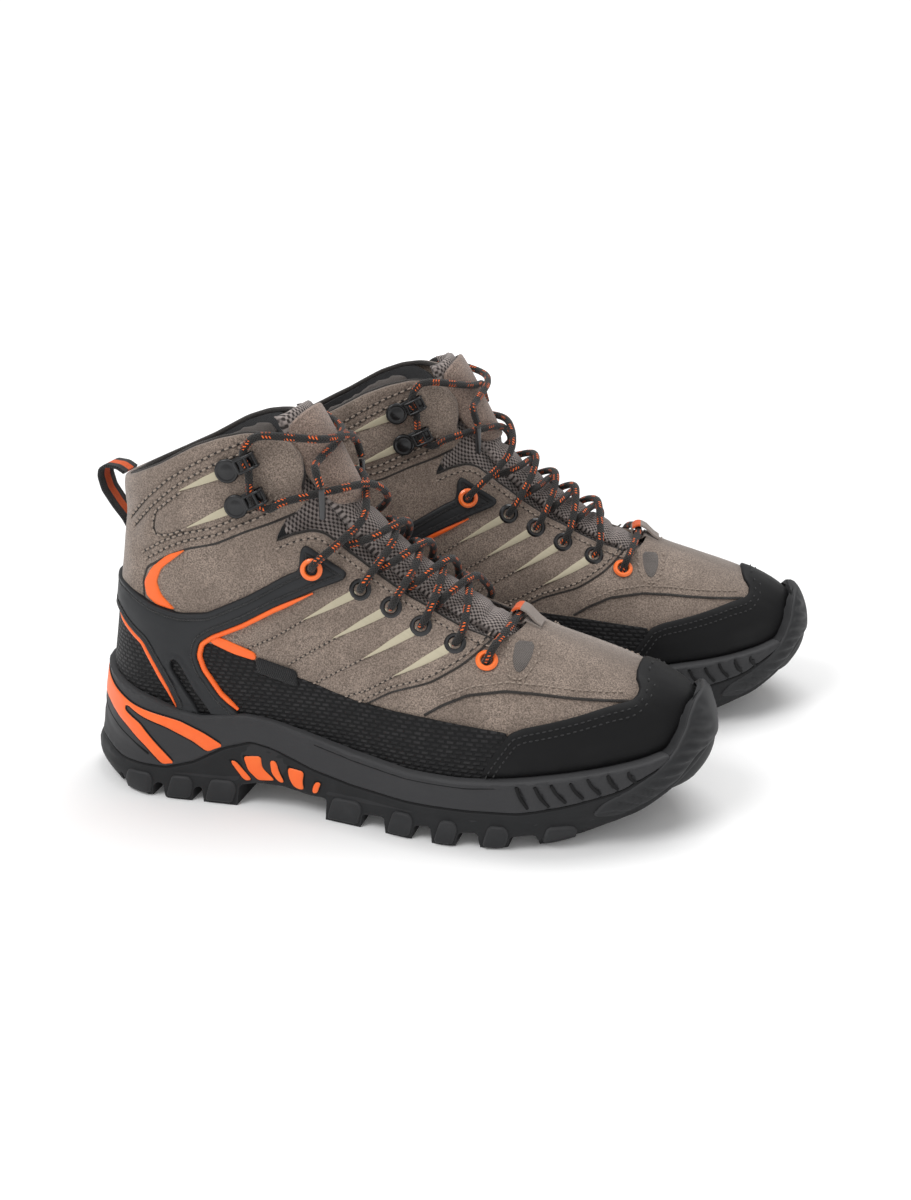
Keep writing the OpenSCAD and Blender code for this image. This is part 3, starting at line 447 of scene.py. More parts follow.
def panel(surface, outlines, t_in, t_out, step=3.0, edge=0.5, relief=None, sides=(LATERAL, MEDIAL), rim=1.8,
          mesh=None):
    """A sheet lying on the surface inside the first side-view outline and outside the others, with rounded
    edges, its outer face t_out and its inner one t_in above the surface. relief(x, z, d) raises the outer
    face, d being the distance from the outline."""
    mesh = mesh or Mesh()
    loops = [trace(surface, o, rim) for o in outlines]
    rings = []
    for k, (flat, axis) in enumerate(loops):
        rings.append([inset(surface, flat, axis, d, k > 0) for d in (0, 0, 0.3 * edge, edge)])
    inner = [r[-1] for r in rings]
    lo, hi = inner[0].min(0), inner[0].max(0)
    us = np.arange(lo[0] + step / 2, hi[0], step)
    zs = np.arange(lo[1] + step / 2, hi[1], step * 0.87)
    gu, gz = np.meshgrid(us, zs)
    gu = gu + (np.arange(len(zs)) % 2 * step / 2)[:, None]
    gu, gz = gu.ravel(), gz.ravel()
    keep = inside(gu, gz, inner)
    gu, gz = gu[keep], gz[keep]
    keep = distance(gu, gz, [np.vstack([r, r[:1]]) for r in inner]) > 0.55 * step
    gu, gz = gu[keep], gz[keep]
    pts = np.vstack(inner + [np.column_stack([gu, gz])])
    edges, n = [], 0
    for r in inner:
        edges += [(n + i, n + (i + 1) % len(r)) for i in range(len(r))]
        n += len(r)
    pts, _, tris, _, _, _ = delaunay_2d_cdt([Vector(p) for p in pts], edges, [], 0, 1e-5)
    pts = np.array([tuple(p) for p in pts])
    tris = np.array([t for t in tris if len(t) == 3])
    centre = pts[tris].mean(1)
    tris = tris[inside(centre[:, 0], centre[:, 1], inner)]
    border = [surface.point(f[:, 0] / DOMAIN, f[:, 1])[:, [0, 2]] for f, _ in loops]
    border = [np.vstack([b, b[:1]]) for b in border]
    heel = any((f[ax][:, 0] < 1).any() for f, ax in loops if ax.any())

    def lay(flat, t, side, top):
        a, z = flat[:, 0] / DOMAIN, flat[:, 1]
        if side == MEDIAL:
            a = 360 - a
        x = surface.point(a, z)[:, 0]
        d = distance(x, z, border)
        t = np.full(x.shape, t) + (relief(x, z, d) if relief and top else 0)
        folded = np.minimum(a, 360 - a)
        s = surface.arc(folded)
        if side == MEDIAL:
            s = -s if heel else 2 * surface.arc_s[-1] - s
        return surface.raised(a, z, t), np.column_stack([s, z]), d

    for side in sides:
        flip = side == MEDIAL
        order = (lambda q: tuple(reversed(q))) if flip else tuple
        v, uv, d = lay(pts, t_out, side, True)
        mesh.add(v, [order(q) for q in tris], uv, d)
        v, uv, d = lay(pts, t_in, side, False)
        mesh.add(v, [tuple(reversed(order(q))) for q in tris], uv, d)
        for k, (ring, (flat, axis)) in enumerate(zip(rings, loops)):
            n = len(flat)
            walls = [lay(ring[-1], t_in, side, False), lay(ring[0], t_in, side, False),
                     lay(ring[1], t_out - edge, side, True), lay(ring[2], t_out - 0.3 * edge, side, True),
                     lay(ring[3], t_out, side, True)]
            quads = []
            for r in range(4):
                for i in range(n):
                    j = (i + 1) % n
                    if not (axis[i] and axis[j]):
                        q = (r * n + i, r * n + j, (r + 1) * n + j, (r + 1) * n + i)
                        quads.append(order(q if k == 0 else tuple(reversed(q))))
            mesh.add(np.vstack([w[0] for w in walls]), quads, np.vstack([w[1] for w in walls]),
                     np.concatenate([w[2] for w in walls]))
    return mesh


def frames_along(p, start=(0.31, 0.22, 0.93)):
    """Directions of a path and, for each point, a side vector that turns with it and never twists."""
    d = unit(np.gradient(p, axis=0))
    u, out = np.asarray(start, float), []
    for k in d:
        u = unit(u - np.dot(u, k) * k)
        out.append(u)
    return d, np.array(out)


def tube(p, r, sides=10, mesh=None, flat=1.0, up=None, closed=False):
    """Tube along a path in mm. r may change along it. flat squeezes it along up."""
    mesh = mesh or Mesh()
    p = np.asarray(p, float)
    r = np.broadcast_to(np.asarray(r, float), (len(p),))
    d, u = frames_along(p)
    if up is not None:
        n = np.asarray(up, float)
        u = unit(n - np.sum(n * d, -1, keepdims=True) * d)
    w = np.cross(d, u)
    a = -np.arange(sides) * 2 * math.pi / sides
    ring = flat * np.cos(a)[None, :, None] * u[:, None] + np.sin(a)[None, :, None] * w[:, None]
    v = p[:, None] + r[:, None, None] * ring
    n, m = sides, len(p)
    s = path_length(p)
    uv = np.stack(np.broadcast_arrays(s[:, None], (np.arange(sides) / sides * 1000)[None]), -1)
    f = [(j * n + i, (j + 1) * n + i, (j + 1) * n + (i + 1) % n, j * n + (i + 1) % n)
         for j in range(m - 1) for i in range(n)]
    f = [tuple(reversed(q)) for q in f]
    if not closed:
        caps = np.vstack([p[0] - 0.3 * r[0] * d[0], p[-1] + 0.3 * r[-1] * d[-1]])
        f += [tuple(reversed((m * n, (i + 1) % n, i))) for i in range(n)]
        f += [tuple(reversed((m * n + 1, (m - 1) * n + i, (m - 1) * n + (i + 1) % n))) for i in range(n)]
        v = np.vstack([v.reshape(-1, 3), caps])
        uv = np.vstack([uv.reshape(-1, 2), [[0, 0], [s[-1], 0]]])
    else:
        v, uv = v.reshape(-1, 3), uv.reshape(-1, 2)
    return mesh.add(v, f, uv)


def strip(p, across, width, thick, mesh=None, crown=0.0, ends=True):
    """Flat band along path p; across is the direction of its width at each point; rounded edges."""
    mesh = mesh or Mesh()
    p = np.asarray(p, float)
    across = unit(np.broadcast_to(np.asarray(across, float), p.shape))
    d = unit(np.gradient(p, axis=0))
    n = unit(np.cross(d, across))
    width = np.broadcast_to(np.asarray(width, float), (len(p),))
    h = thick / 2
    section = [(-1, -h * 0.55), (-0.96, -h), (0, -h), (0.96, -h), (1, -h * 0.55), (1, h * 0.55), (0.96, h),
               (0.5, h + crown * 0.75), (0, h + crown), (-0.5, h + crown * 0.75), (-0.96, h), (-1, h * 0.55)]
    sec = np.array(section)
    v = p[:, None] + (sec[None, :, 0] * width[:, None] / 2)[..., None] * across[:, None] \
        + sec[None, :, 1, None] * n[:, None]
    k, m = len(sec), len(p)
    s = path_length(p)
    uv = np.stack(np.broadcast_arrays(s[:, None], sec[None, :, 0] * width[:, None] / 2), -1)
    f = [(j * k + i, j * k + (i + 1) % k, (j + 1) * k + (i + 1) % k, (j + 1) * k + i)
         for j in range(m - 1) for i in range(k)]
    if ends:
        f += [tuple(reversed(range(k))), tuple((m - 1) * k + i for i in range(k))]
    return mesh.add(v.reshape(-1, 3), f, uv.reshape(-1, 2))


def lathe(profile, origin, x, y, z, mesh, segments=28):
    """Turned shape: profile is [(radius, height)], from its axis round to its axis."""
    pr = np.array(profile, float)
    a = np.arange(segments) * 2 * math.pi / segments
    v = (origin + pr[:, None, :1] * (np.cos(a)[None, :, None] * x + np.sin(a)[None, :, None] * y)
         + pr[:, None, 1:] * z)
    n = segments
    f = [(j * n + i, j * n + (i + 1) % n, (j + 1) * n + (i + 1) % n, (j + 1) * n + i)
         for j in range(len(pr) - 1) for i in range(n)]
    return mesh.add(v.reshape(-1, 3), f)


def grid(rows, mesh=None, uv=None, wrap=False):
    """Quads over a rectangular array of points."""
    mesh = mesh or Mesh()
    v = np.asarray(rows, float)
    m, n = v.shape[:2]
    f = [(j * n + i, j * n + (i + 1) % n, (j + 1) * n + (i + 1) % n, (j + 1) * n + i)
         for j in range(m - 1) for i in range(n if wrap else n - 1)]
    return mesh.add(v.reshape(-1, 3), f, None if uv is None else np.asarray(uv, float).reshape(-1, 2))


# One stitch: a short thread lying on the surface with its ends going in
STITCH_RINGS = [(-0.5, 0.25, -0.9), (-0.36, 0.85, -0.1), (0, 1, 0.25), (0.36, 0.85, -0.1), (0.5, 0.25, -0.9)]


def stitch(mesh, p, along, normal, length=2.4, r=0.42):
    u = unit(along - np.dot(along, normal) * normal)
    w = np.cross(normal, u)
    a = np.arange(6) * math.pi / 3
    v = np.array([p + length * s * u + r * h * normal + r * k * (np.cos(b) * w + np.sin(b) * normal)
                  for s, k, h in STITCH_RINGS for b in a])
    f = [(j * 6 + i, j * 6 + (i + 1) % 6, (j + 1) * 6 + (i + 1) % 6,
          (j + 1) * 6 + i) for j in range(4) for i in range(6)]
    f += [tuple(range(6))[::-1], tuple(range(24, 30))]
    mesh.add(v, f)


def stitches(mesh, line, t, pitch=3.1, length=2.3, r=0.4, surface=UPPER, sides=(LATERAL, MEDIAL)):
    """Stitches along a side-view line, t above the surface."""
    p = resample(rounded(line), pitch)
    ok = (p[:, 0] > surface.back(p[:, 1]) + 0.3) & (p[:, 0] < surface.front(p[:, 1]) - 0.3)
    for side in sides:
        q = surface.at(p[:, 0], p[:, 1], side, t if np.isscalar(t) else 0)
        n = unit(surface.facing(p[:, 0], p[:, 1], side))
        if not np.isscalar(t):
            q = q + np.asarray(t(p[:, 0], p[:, 1]))[:, None] * n
        d = np.gradient(q, axis=0)
        for i in np.nonzero(ok)[0]:
            stitch(mesh, q[i], d[i], n[i], length, r)


def inlay(mesh, line, t, r=0.5, surface=UPPER, sides=(LATERAL, MEDIAL)):
    """A thin dark line lying in a seam or along an edge, t above the surface."""
    p = resample(rounded(line), 1.6)
    p = p[(p[:, 0] > surface.back(p[:, 1]) + 0.3) & (p[:, 0] < surface.front(p[:, 1]) - 0.3)]
    for side in sides:
        n = unit(surface.facing(p[:, 0], p[:, 1], side))
        height = np.broadcast_to(t(p[:, 0], p[:, 1]) if callable(t) else t, len(p))
        tube(surface.at(p[:, 0], p[:, 1], side, 0) + height[:, None] * n, r, 6, mesh, flat=0.6, up=n)


# ---------------------------------------------------------------- materials
class Nodes:
    """Short calls for a material's node tree."""
    def __init__(self, name):
        self.material = bpy.data.materials.new(name)
        self.material.use_nodes = True
        self.tree = self.material.node_tree
        self.bsdf = next(n for n in self.tree.nodes if n.type == "BSDF_PRINCIPLED")

    def new(self, kind, **inputs):
        node = self.tree.nodes.new(kind)
        for k, v in inputs.items():
            self.put(node.inputs[k.replace("_", " ")], v)
        return node

    def put(self, socket, v):
        if isinstance(v, bpy.types.NodeSocket):
            self.tree.links.new(v, socket)
        else:
            socket.default_value = v

    def coords(self, which="Object", scale=(1, 1, 1), turn=(0, 0, 0)):
        m = self.new("ShaderNodeMapping")
        self.tree.links.new(self.new("ShaderNodeTexCoord").outputs[which], m.inputs["Vector"])
        m.inputs["Scale"].default_value = scale
        m.inputs["Rotation"].default_value = turn
        return m.outputs["Vector"]

    def noise(self, scale, detail=3, vector=None, rough=0.5):
        n = self.new("ShaderNodeTexNoise", Scale=scale, Detail=detail, Roughness=rough,
                     Vector=vector or self.coords())
        return n.outputs["Fac"]

    def math(self, op, a, b=0.0, c=None, clamp=False):
        n = self.new("ShaderNodeMath")
        n.operation, n.use_clamp = op, clamp
        self.put(n.inputs[0], a)
        self.put(n.inputs[1], b)
        if c is not None:
            self.put(n.inputs[2], c)
        return n.outputs[0]

    def span(self, v, a, b, lo=0.0, hi=1.0):
        n = self.new("ShaderNodeMapRange", Value=v)
        n.interpolation_type = "SMOOTHSTEP"
        for k, q in zip(("From Min", "From Max", "To Min", "To Max"), (a, b, lo, hi)):
            n.inputs[k].default_value = q
        return n.outputs["Result"]

    def mix(self, fac, a, b):
        n = self.new("ShaderNodeMix")
        n.data_type = "RGBA"
        self.put(n.inputs["Factor"], fac)
        for k, v in (("A", a), ("B", b)):
            s = [i for i in n.inputs if i.name == k and i.type == "RGBA"][0]
            self.put(s, v if isinstance(v, bpy.types.NodeSocket) else (*v, 1))
        return [o for o in n.outputs if o.type == "RGBA"][0]

    def split(self, vector):
        return self.new("ShaderNodeSeparateXYZ", Vector=vector).outputs

    def edge(self):
        n = self.new("ShaderNodeAttribute")
        n.attribute_name = "edge"
        return n.outputs["Fac"]

    def bump(self, height, strength, mm, normal=None):
        n = self.new("ShaderNodeBump", Strength=strength, Distance=mm / 1000, Height=height)
        if normal is not None:
            self.put(n.inputs["Normal"], normal)
        return n.outputs["Normal"]

    def finish(self, color, rough, normal=None, **more):
        self.put(self.bsdf.inputs["Base Color"], color if isinstance(color,
                                                            bpy.types.NodeSocket) else (*color, 1))
        self.put(self.bsdf.inputs["Roughness"], rough)
        if normal is not None:
            self.put(self.bsdf.inputs["Normal"], normal)
        for k, v in more.items():
            self.put(self.bsdf.inputs[k.replace("_", " ")], v)
        return self.material


def suede(name, light, dark):
    m = Nodes(name)
    patch = m.span(m.noise(52, 4, rough=0.65), 0.38, 0.64)
    grain = m.noise(1500, 3, rough=0.7)
    nap = m.noise(330, 4, m.coords(scale=(1, 1, 0.6)), 0.75)
    c = m.mix(patch, dark, light)
    c = m.mix(m.span(grain, 0.34, 0.66), [0.42 * q for q in dark], c)
    c = m.mix(m.math("MULTIPLY", m.span(nap, 0.55, 0.8), 0.35), c, [min(1, 1.35 * q) for q in light])
    c = m.mix(m.span(m.edge(), 0.1, 1.0, 0.45, 0), c, [0.5 * q for q in dark])
    normal = m.bump(grain, 0.75, 0.22, m.bump(nap, 0.45, 0.4))
    return m.finish(c, m.span(patch, 0, 1, 0.93, 0.86), normal, Sheen_Weight=0.28, Sheen_Roughness=0.5,
                    Specular_IOR_Level=0.18)


def rubber(name, color, worn, rough=0.62, grain=700, dust=0.35, depth=0.1):
    m = Nodes(name)
    cloud = m.noise(55, 4)
    fine = m.noise(grain, 3)
    c = m.mix(m.math("MULTIPLY", m.span(cloud, 0.45, 0.8), dust), color, worn)
    c = m.mix(m.math("MULTIPLY", m.span(m.edge(), 0.0, 1.1, 1, 0), 0.5), c, worn)
    return m.finish(c, m.span(cloud, 0.3, 0.7, rough - 0.07, rough + 0.08), m.bump(fine, 0.5, depth),
                    Specular_IOR_Level=0.22)


def mesh_cloth(name, thread, hole, pitch=1.15, depth=0.35):
    """Knitted air mesh: light threads around dark holes in a staggered grid."""
    m = Nodes(name)
    x, y, _ = m.split(m.coords("UV"))
    k = 2000 * math.pi / pitch
    wave = lambda v, s: m.math("SINE", m.math("MULTIPLY", v, s))
    a = wave(m.math("ADD", x, m.math("MULTIPLY", y, 0.58)), k)
    b = wave(m.math("SUBTRACT", x, m.math("MULTIPLY", y, 0.58)), k)
    knit = m.span(m.math("ADD", a, b), -1.2, 0.9)
    shade = m.noise(120, 3)
    c = m.mix(knit, hole, thread)
    c = m.mix(m.span(shade, 0.4, 0.75, 0, 0.3), c, hole)
    return m.finish(c, 0.85, m.bump(knit, 0.8, depth), Sheen_Weight=0.2, Specular_IOR_Level=0.2)


def ripstop(name):
    """Coated cloth with rows of short raised dashes."""
    m = Nodes(name)
    u, v, _ = m.split(m.coords("UV"))
    row = m.math("MULTIPLY", v, 1000 / 2.0)
    shift = m.math("MULTIPLY", m.math("MODULO", m.math("FLOOR", row), 2.0), 0.5)
    along = m.math("FRACT", m.math("ADD", m.math("MULTIPLY", u, 1000 / 4.4), shift))
    across = m.math("FRACT", row)
    dash = m.math("MULTIPLY", m.span(m.math("ABSOLUTE", m.math("SUBTRACT", along, 0.5)), 0.28, 0.42, 1, 0),
                  m.span(m.math("ABSOLUTE", m.math("SUBTRACT", across, 0.5)), 0.16, 0.4, 1, 0))
    fine = m.noise(1900, 2)
    c = m.mix(m.math("MULTIPLY", dash, m.span(m.noise(160, 2), 0.35, 0.7, 0.25, 1)), (0.004, 0.004, 0.0045),
              (0.022, 0.021, 0.022))
    return m.finish(c, m.span(dash, 0, 1, 0.66, 0.5), m.bump(dash, 0.9, 0.5, m.bump(fine, 0.5, 0.12)),
                    Specular_IOR_Level=0.25)


BRAID_PITCH = 1.5                 # of the lace's braid, in mm


def lace_cord(name, base, fleck):
    """Braid with groups of short slanted flecks."""
    m = Nodes(name)
    s, v, _ = m.split(m.coords("UV"))
    mm = m.math("MULTIPLY", s, 1000)
    k = 2 * math.pi / BRAID_PITCH
    a = m.math("SINE", m.math("ADD", m.math("MULTIPLY", mm, k), m.math("MULTIPLY", v, 6 * 2 * math.pi)))
    b = m.math("SINE", m.math("SUBTRACT", m.math("MULTIPLY", mm, k), m.math("MULTIPLY", v, 6 * 2 * math.pi)))
    braid = m.span(m.math("MAXIMUM", a, b), -0.4, 1)
    group = m.math("LESS_THAN", m.math("FRACT", m.math("DIVIDE", mm, 10.0)), 0.44)
    tick = m.math("GREATER_THAN", m.math("SINE", m.math("ADD", m.math("MULTIPLY", mm, 2 * math.pi / 1.47),
                                                       m.math("MULTIPLY", v, 4 * 2 * math.pi))), 0.25)
    band = m.math("FRACT", m.math("ADD", m.math("MULTIPLY", v, 4.0), m.math("MULTIPLY", mm, 0.03)))
    band = m.math("LESS_THAN", m.math("ABSOLUTE", m.math("SUBTRACT", band, 0.5)), 0.22)
    on = m.math("MULTIPLY", m.math("MULTIPLY", group, tick), band)
    c = m.mix(braid, [0.35 * q for q in base], base)
    c = m.mix(on, c, fleck)
    return m.finish(c, 0.78, m.bump(braid, 0.8, 0.3), Sheen_Weight=0.15, Specular_IOR_Level=0.3)


def webbing(name, base, band, band_half, across=1, phase=0.0):
    """Ribbed tape with a coloured band. across 1 runs the band along the tape, 0 across it."""
    m = Nodes(name)
    uv = m.split(m.coords("UV"))
    mm = m.math("MULTIPLY", uv[across], 1000)
    rib = m.math("SINE", m.math("MULTIPLY", uv[0], 2000 * math.pi / 1.1))
    weft = m.math("SINE", m.math("MULTIPLY", uv[1], 2000 * math.pi / 0.9))
    weave = m.span(m.math("MULTIPLY", rib, weft), -0.8, 0.8)
    mm = m.math("SUBTRACT", mm, phase)
    on = m.span(m.math("ABSOLUTE", mm), band_half - 0.2, band_half + 0.2, 1, 0)
    c = m.mix(on, base, band)
    c = m.mix(m.math("MULTIPLY", m.math("SUBTRACT", 1.0, weave), 0.5), c, [0.3 * q for q in base])
    return m.finish(c, 0.82, m.bump(weave, 0.8, 0.35), Sheen_Weight=0.15, Specular_IOR_Level=0.25)


def coated(name, color, rough, metallic=0.0, grain=900, depth=0.05, worn=None, coat=0.0, spec=0.5):
    m = Nodes(name)
    cloud = m.noise(90, 3)
    fine = m.noise(grain, 3)
    worn = worn or [min(1, 1.5 * q + 0.01) for q in color]
    c = m.mix(m.span(cloud, 0.4, 0.8, 0, 0.3), color, worn)
    c = m.mix(m.span(m.edge(), 0.0, 0.6, 0.35, 0), c, worn)
    return m.finish(c, m.span(cloud, 0.3, 0.7, rough - 0.05, rough + 0.06), m.bump(fine, 0.35, depth),
                    Metallic=metallic, Coat_Weight=coat, Specular_IOR_Level=spec)


ORANGE = (0.93, 0.13, 0.012)
M = {
    "suede": suede("suede_taupe", (0.345, 0.272, 0.224), (0.262, 0.205, 0.168)),
    "patch": suede("suede_patch", (0.36, 0.265, 0.215), (0.27, 0.2, 0.165)),
    "rand": ripstop("rand_cloth"),
    "cap": rubber("toe_rubber", (0.004, 0.004, 0.0045), (0.012, 0.012, 0.013), 0.62, 1400, 0.3, 0.06),
    "midsole": rubber("midsole_foam", (0.036, 0.036, 0.038), (0.06, 0.06, 0.062), 0.6, 1100, 0.3, 0.07),
    "outsole": rubber("outsole_rubber", (0.015, 0.0155, 0.0165), (0.036, 0.036, 0.038), 0.65, 800, 0.4, 0.12),
    "bumper": rubber("bumper_rubber", (0.024, 0.0245, 0.026), (0.06, 0.06, 0.062), 0.6, 900, 0.4, 0.1),
    "cage": rubber("cage_plastic", (0.024, 0.025, 0.027), (0.007, 0.007, 0.008), 0.48, 1300, 0.15, 0.05),
    "orange": coated("orange_trim", ORANGE, 0.42, grain=1200, depth=0.06, worn=(1.0, 0.24, 0.04)),
    "orange_metal": coated("orange_eyelet", ORANGE, 0.35, 0.1, coat=0.4, worn=(1.0, 0.24, 0.04)),
    "black_metal": coated("black_lacquer", (0.012, 0.012, 0.013), 0.3, 0.6, coat=0.3, worn=(0.05, 0.05,
    0.052)),
    "cream": coated("cream_film", (0.43, 0.385, 0.275), 0.65, grain=1500, depth=0.08, worn=(0.5, 0.45, 0.33)),
    "thread": webbing("thread_taupe", (0.36, 0.29, 0.24), (0.36, 0.29, 0.24), 0.2),
    "seam": webbing("seam_shadow", (0.04, 0.031, 0.026), (0.04, 0.031, 0.026), 0.2),
    "dark_thread": webbing("thread_black", (0.03, 0.03, 0.031), (0.03, 0.03, 0.031), 0.2),
    "tongue": mesh_cloth("tongue_mesh", (0.36, 0.31, 0.29), (0.045, 0.038, 0.036), 1.5),
    "lining": mesh_cloth("lining_mesh", (0.07, 0.07, 0.074), (0.012, 0.012, 0.013), 1.2, 0.25),
    "pad": mesh_cloth("collar_mesh", (0.2, 0.175, 0.16), (0.03, 0.026, 0.025), 1.2, 0.3),
    "binding": webbing("dark_binding", (0.05, 0.042, 0.038), (0.05, 0.042, 0.038), 0.2),
    "bed": mesh_cloth("footbed_cloth", (0.05, 0.05, 0.055), (0.02, 0.02, 0.022), 1.0, 0.2),
    "lace": lace_cord("lace_cord", (0.022, 0.02, 0.019), (0.9, 0.15, 0.02)),
    "tip": coated("lace_sheath", (0.015, 0.015, 0.016), 0.25, coat=0.5),
    "keeper": webbing("keeper_webbing", (0.33, 0.28, 0.25), ORANGE, 2.2, 0, 14.5),
    "loop": webbing("loop_webbing", (0.02, 0.02, 0.021), ORANGE, 2.6),
    "tag": webbing("tag_cloth", (0.012, 0.012, 0.013), (0.012, 0.012, 0.013), 0.2),
    "board": rubber("fibre_board", (0.45, 0.35, 0.23), (0.3, 0.22, 0.14), 0.8, 500, 0.6, 0.2),
    "stiff": rubber("stiffener", (0.6, 0.56, 0.48), (0.45, 0.42, 0.36), 0.55, 600, 0.4, 0.1),
    "steel": coated("shank_steel", (0.5, 0.5, 0.51), 0.32, 1.0, grain=1600),
}
for piece, key in {"outsole": "outsole", "shank": "steel", "insole_board": "board", "toe_puff": "stiff",
                   "heel_counter": "stiff", "black_eyelets": "black_metal", "orange_eyelets": "orange_metal",
                   }.items():
    for side in ("right", "left"):
        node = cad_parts[f"{side}_{piece}"]
        node.data.materials.clear()
        node.data.materials.append(M[key])

# ---------------------------------------------------------------- suede upper
LEATHER_IN = -1.8                 # the leather's inner face, from the upper's surface
seam_cut = lambda d, depth, width: -depth * np.exp(-(d / width) ** 2)
cuff_lines = [collar_stitch, beside(collar_stitch, -4.2), inner_stitch]
seam_above = [(49, 117), (61, 124), (71, 128), (85, 131), (99, 137), (109, 141), (113, 148)]
cuff_lines += [seam_above, beside(seam_above, 3.4)]


def cuff_relief(x, z, d):
    """The padded cuff swells between its seams and thins towards its edges."""
    seams = distance(x, z, cuff_lines)
    swell = 1.0 * ease(0, 9, seams) * ease(0, 8, d)
    near_hooks = distance(x, z, [stud_at, [(108, 150), (106, 166)]])
    swell = swell * ease(6, 14, near_hooks)
    return swell + seam_cut(seams, 0.7, 1.1) + seam_cut(d, 0.35, 1.2)


def quarter_relief(x, z, d):
    lines = distance(x, z, tip_lines)
    ripple = 0.35 * ease(0, 6, lines) * ease(0, 5, d)
    crease = 0.35 * np.sin((x * 0.6 + z) / 7.5) * ease(118, 150, x) * ease(110, 90, z) * ease(1, 8, d)
    return ripple + crease * 0.5 + seam_cut(lines, 0.5, 0.9)


def vamp_relief(x, z, d):
    below = ease(-0.8, 0.8, (np.interp(x, [q[0] for q in vamp_seam], [q[1] for q in vamp_seam]) - z))
    flex = 0.45 * np.sin((x - 0.5 * z) / 6.5) * ease(208, 222, x) * ease(250, 232, x) * ease(60, 74, z)
    return -0.75 * below * ease(181, 188, x) + 0.5 * flex


vamp_outline = [(146, 16)] + [(x - 4, z + 3) for x,
                              z in eyestay_seam[1:-1]] + [eyestay_seam[-1]] + throat_end \
    + [(320, 100), (320, 16)]
emit("vamp_leather", panel(UPPER, [vamp_outline], LEATHER_IN, -0.1, 2.0, 0.5, vamp_relief), M["suede"],
     nodes=("vamp",))
quarter_outline = ([(-8, 23), (80, 23), (146, 18)] + eyestay_seam[1:] + throat_line[::-1]
                   + [(113, 131), (119, 142), (99, 138), (85, 132), (71, 129), (58, 124), (44, 112), (44,
                   90), (-8, 90)])
emit("quarter_leather", panel(UPPER, [quarter_outline], LEATHER_IN, 0.4, 2.0, 0.6, quarter_relief),
     M["suede"],
     nodes=("quarters",))
cuff_outline = [(-8, 90)] + cuff_seam + cuff_front[::-1] + collar_line[::-1]
emit("cuff_leather", panel(UPPER, [cuff_outline], LEATHER_IN, 0.9, 1.8, 0.7, cuff_relief), M["suede"],
     nodes=("ankle_cuff",))

threads, dark = Mesh(), Mesh()
cuff_top = lambda x, z: 1.35 + 0 * x + cuff_relief(x, z, np.full(np.shape(x), 9.0))
for line in cuff_lines:
    stitches(threads, line, lambda x, z: cuff_top(x, z) + 0.4, 3.4, 2.5, 0.5)
eyestay_run = beside(rounded(throat_line), -2.6)
stitches(threads, eyestay_run, 0.85, r=0.45)
stitches(threads, beside(rounded(eyestay_seam[2:]), 2.0), 0.85, r=0.45)
for line in tip_lines:
    stitches(threads, line, 0.6, 2.7, 1.9, 0.42)
stitches(threads, [(215.5, 85), (216, 78.5), (219.5, 73), (225, 72.6), (229, 78), (229, 82.5)], 0.3, 2.4,
         1.8, 0.42)
stitches(threads, [(191, 65.5), (204, 70.5), (218, 72), (232, 70.8), (246, 68.6), (266, 66)], 0.3, 2.8, 2.0,
         0.42)
stitches(dark, beside(rounded(cap_border), -3.0), 2.2, 2.6, 1.8, 0.34)
stitches(dark, beside(rounded(cap_border), -5.6), 2.2, 2.6, 1.8, 0.34)
# Near-black tubes laid in the suede's seams and beside its stitch rows: painted shade in the seams.
seams = Mesh()
for line in cuff_lines:
    inlay(seams, line, lambda x, z: cuff_top(x, z) + 0.05, 0.5)
inlay(seams, eyestay_run, 0.5, 0.45)
inlay(seams, beside(rounded(eyestay_seam[2:]), 2.0), 0.5, 0.45)
for line in tip_lines:
    inlay(seams, line, 0.3, 0.42)
inlay(seams, vamp_seam, -0.3, 0.7)
inlay(seams, eyestay_seam[1:], 0.1, 0.6)
inlay(seams, cuff_seam, 0.6, 0.6)
emit("seam_shade_lines", seams, M["seam"], weld=False)
emit("seam_threads", threads, M["thread"], weld=False)

# ---------------------------------------------------------------- rand, toe cap, cage, trim
rand_outline = [(-8, 23), (80, 23), (190, 14), (209, 14), (213, 33), (216, 40)] + rand_top[::-1]
emit("rand_weave", panel(UPPER, [rand_outline], 0.1, 1.25, 2.6, 0.4), M["rand"], nodes=("mudguard",))


def cap_relief(x, z, d):
    return seam_cut(d, 0.5, 1.4) + 0.25 * ease(3, 9, d) - 0.3 * np.exp(-((d - 7) / 1.0) ** 2)


cap_outline = [(210, 33.2)] + [(x + 0.2, z) for x, z in cap_border[1:]] + [
    (320, 84), (320, 62.2), (295.3, 62.2), (294.3, 57.7), (293.3, 51.7), (289.3, 42.7), (280, 40.4), (260,
    38.4),
    (239, 36.4), (217, 33.4)]
emit("toe_cap_rubber", panel(UPPER, [cap_outline], 0.1, 2.1, 2.2, 0.8, cap_relief), M["cap"],
     nodes=("toe_cap",))


def cage_relief(x, z, d):
    """A bead along the cage's edges with a groove inside it."""
    bead = 0.5 * np.exp(-((d - 1.3) / 0.9) ** 2) - 0.45 * np.exp(-((d - 3.1) / 0.55) ** 2)
    return bead + 0.3 * ease(3.5, 9, d)


cage_outline = cage_top + cage_low + cage_back
emit("cage_shell", panel(UPPER, [cage_outline, cage_slit], 0.2, 2.7, 1.2, 0.8, cage_relief, rim=1.2),
     M["cage"],
     nodes=("heel_cage",))
for line in (cage_top, cage_low, cage_back):
    inlay(dark, beside(rounded(line), -2.9), 2.75, 0.5)
notch = [(218, 85), (218.5, 79), (221, 75), (224, 75), (226.5, 79), (226.5, 83.5)]
emit("notch_mesh", panel(UPPER, [notch], -0.7, 0.15, 1.5, 0.3), M["pad"])
emit("dark_threads", dark, M["dark_thread"], weld=False)

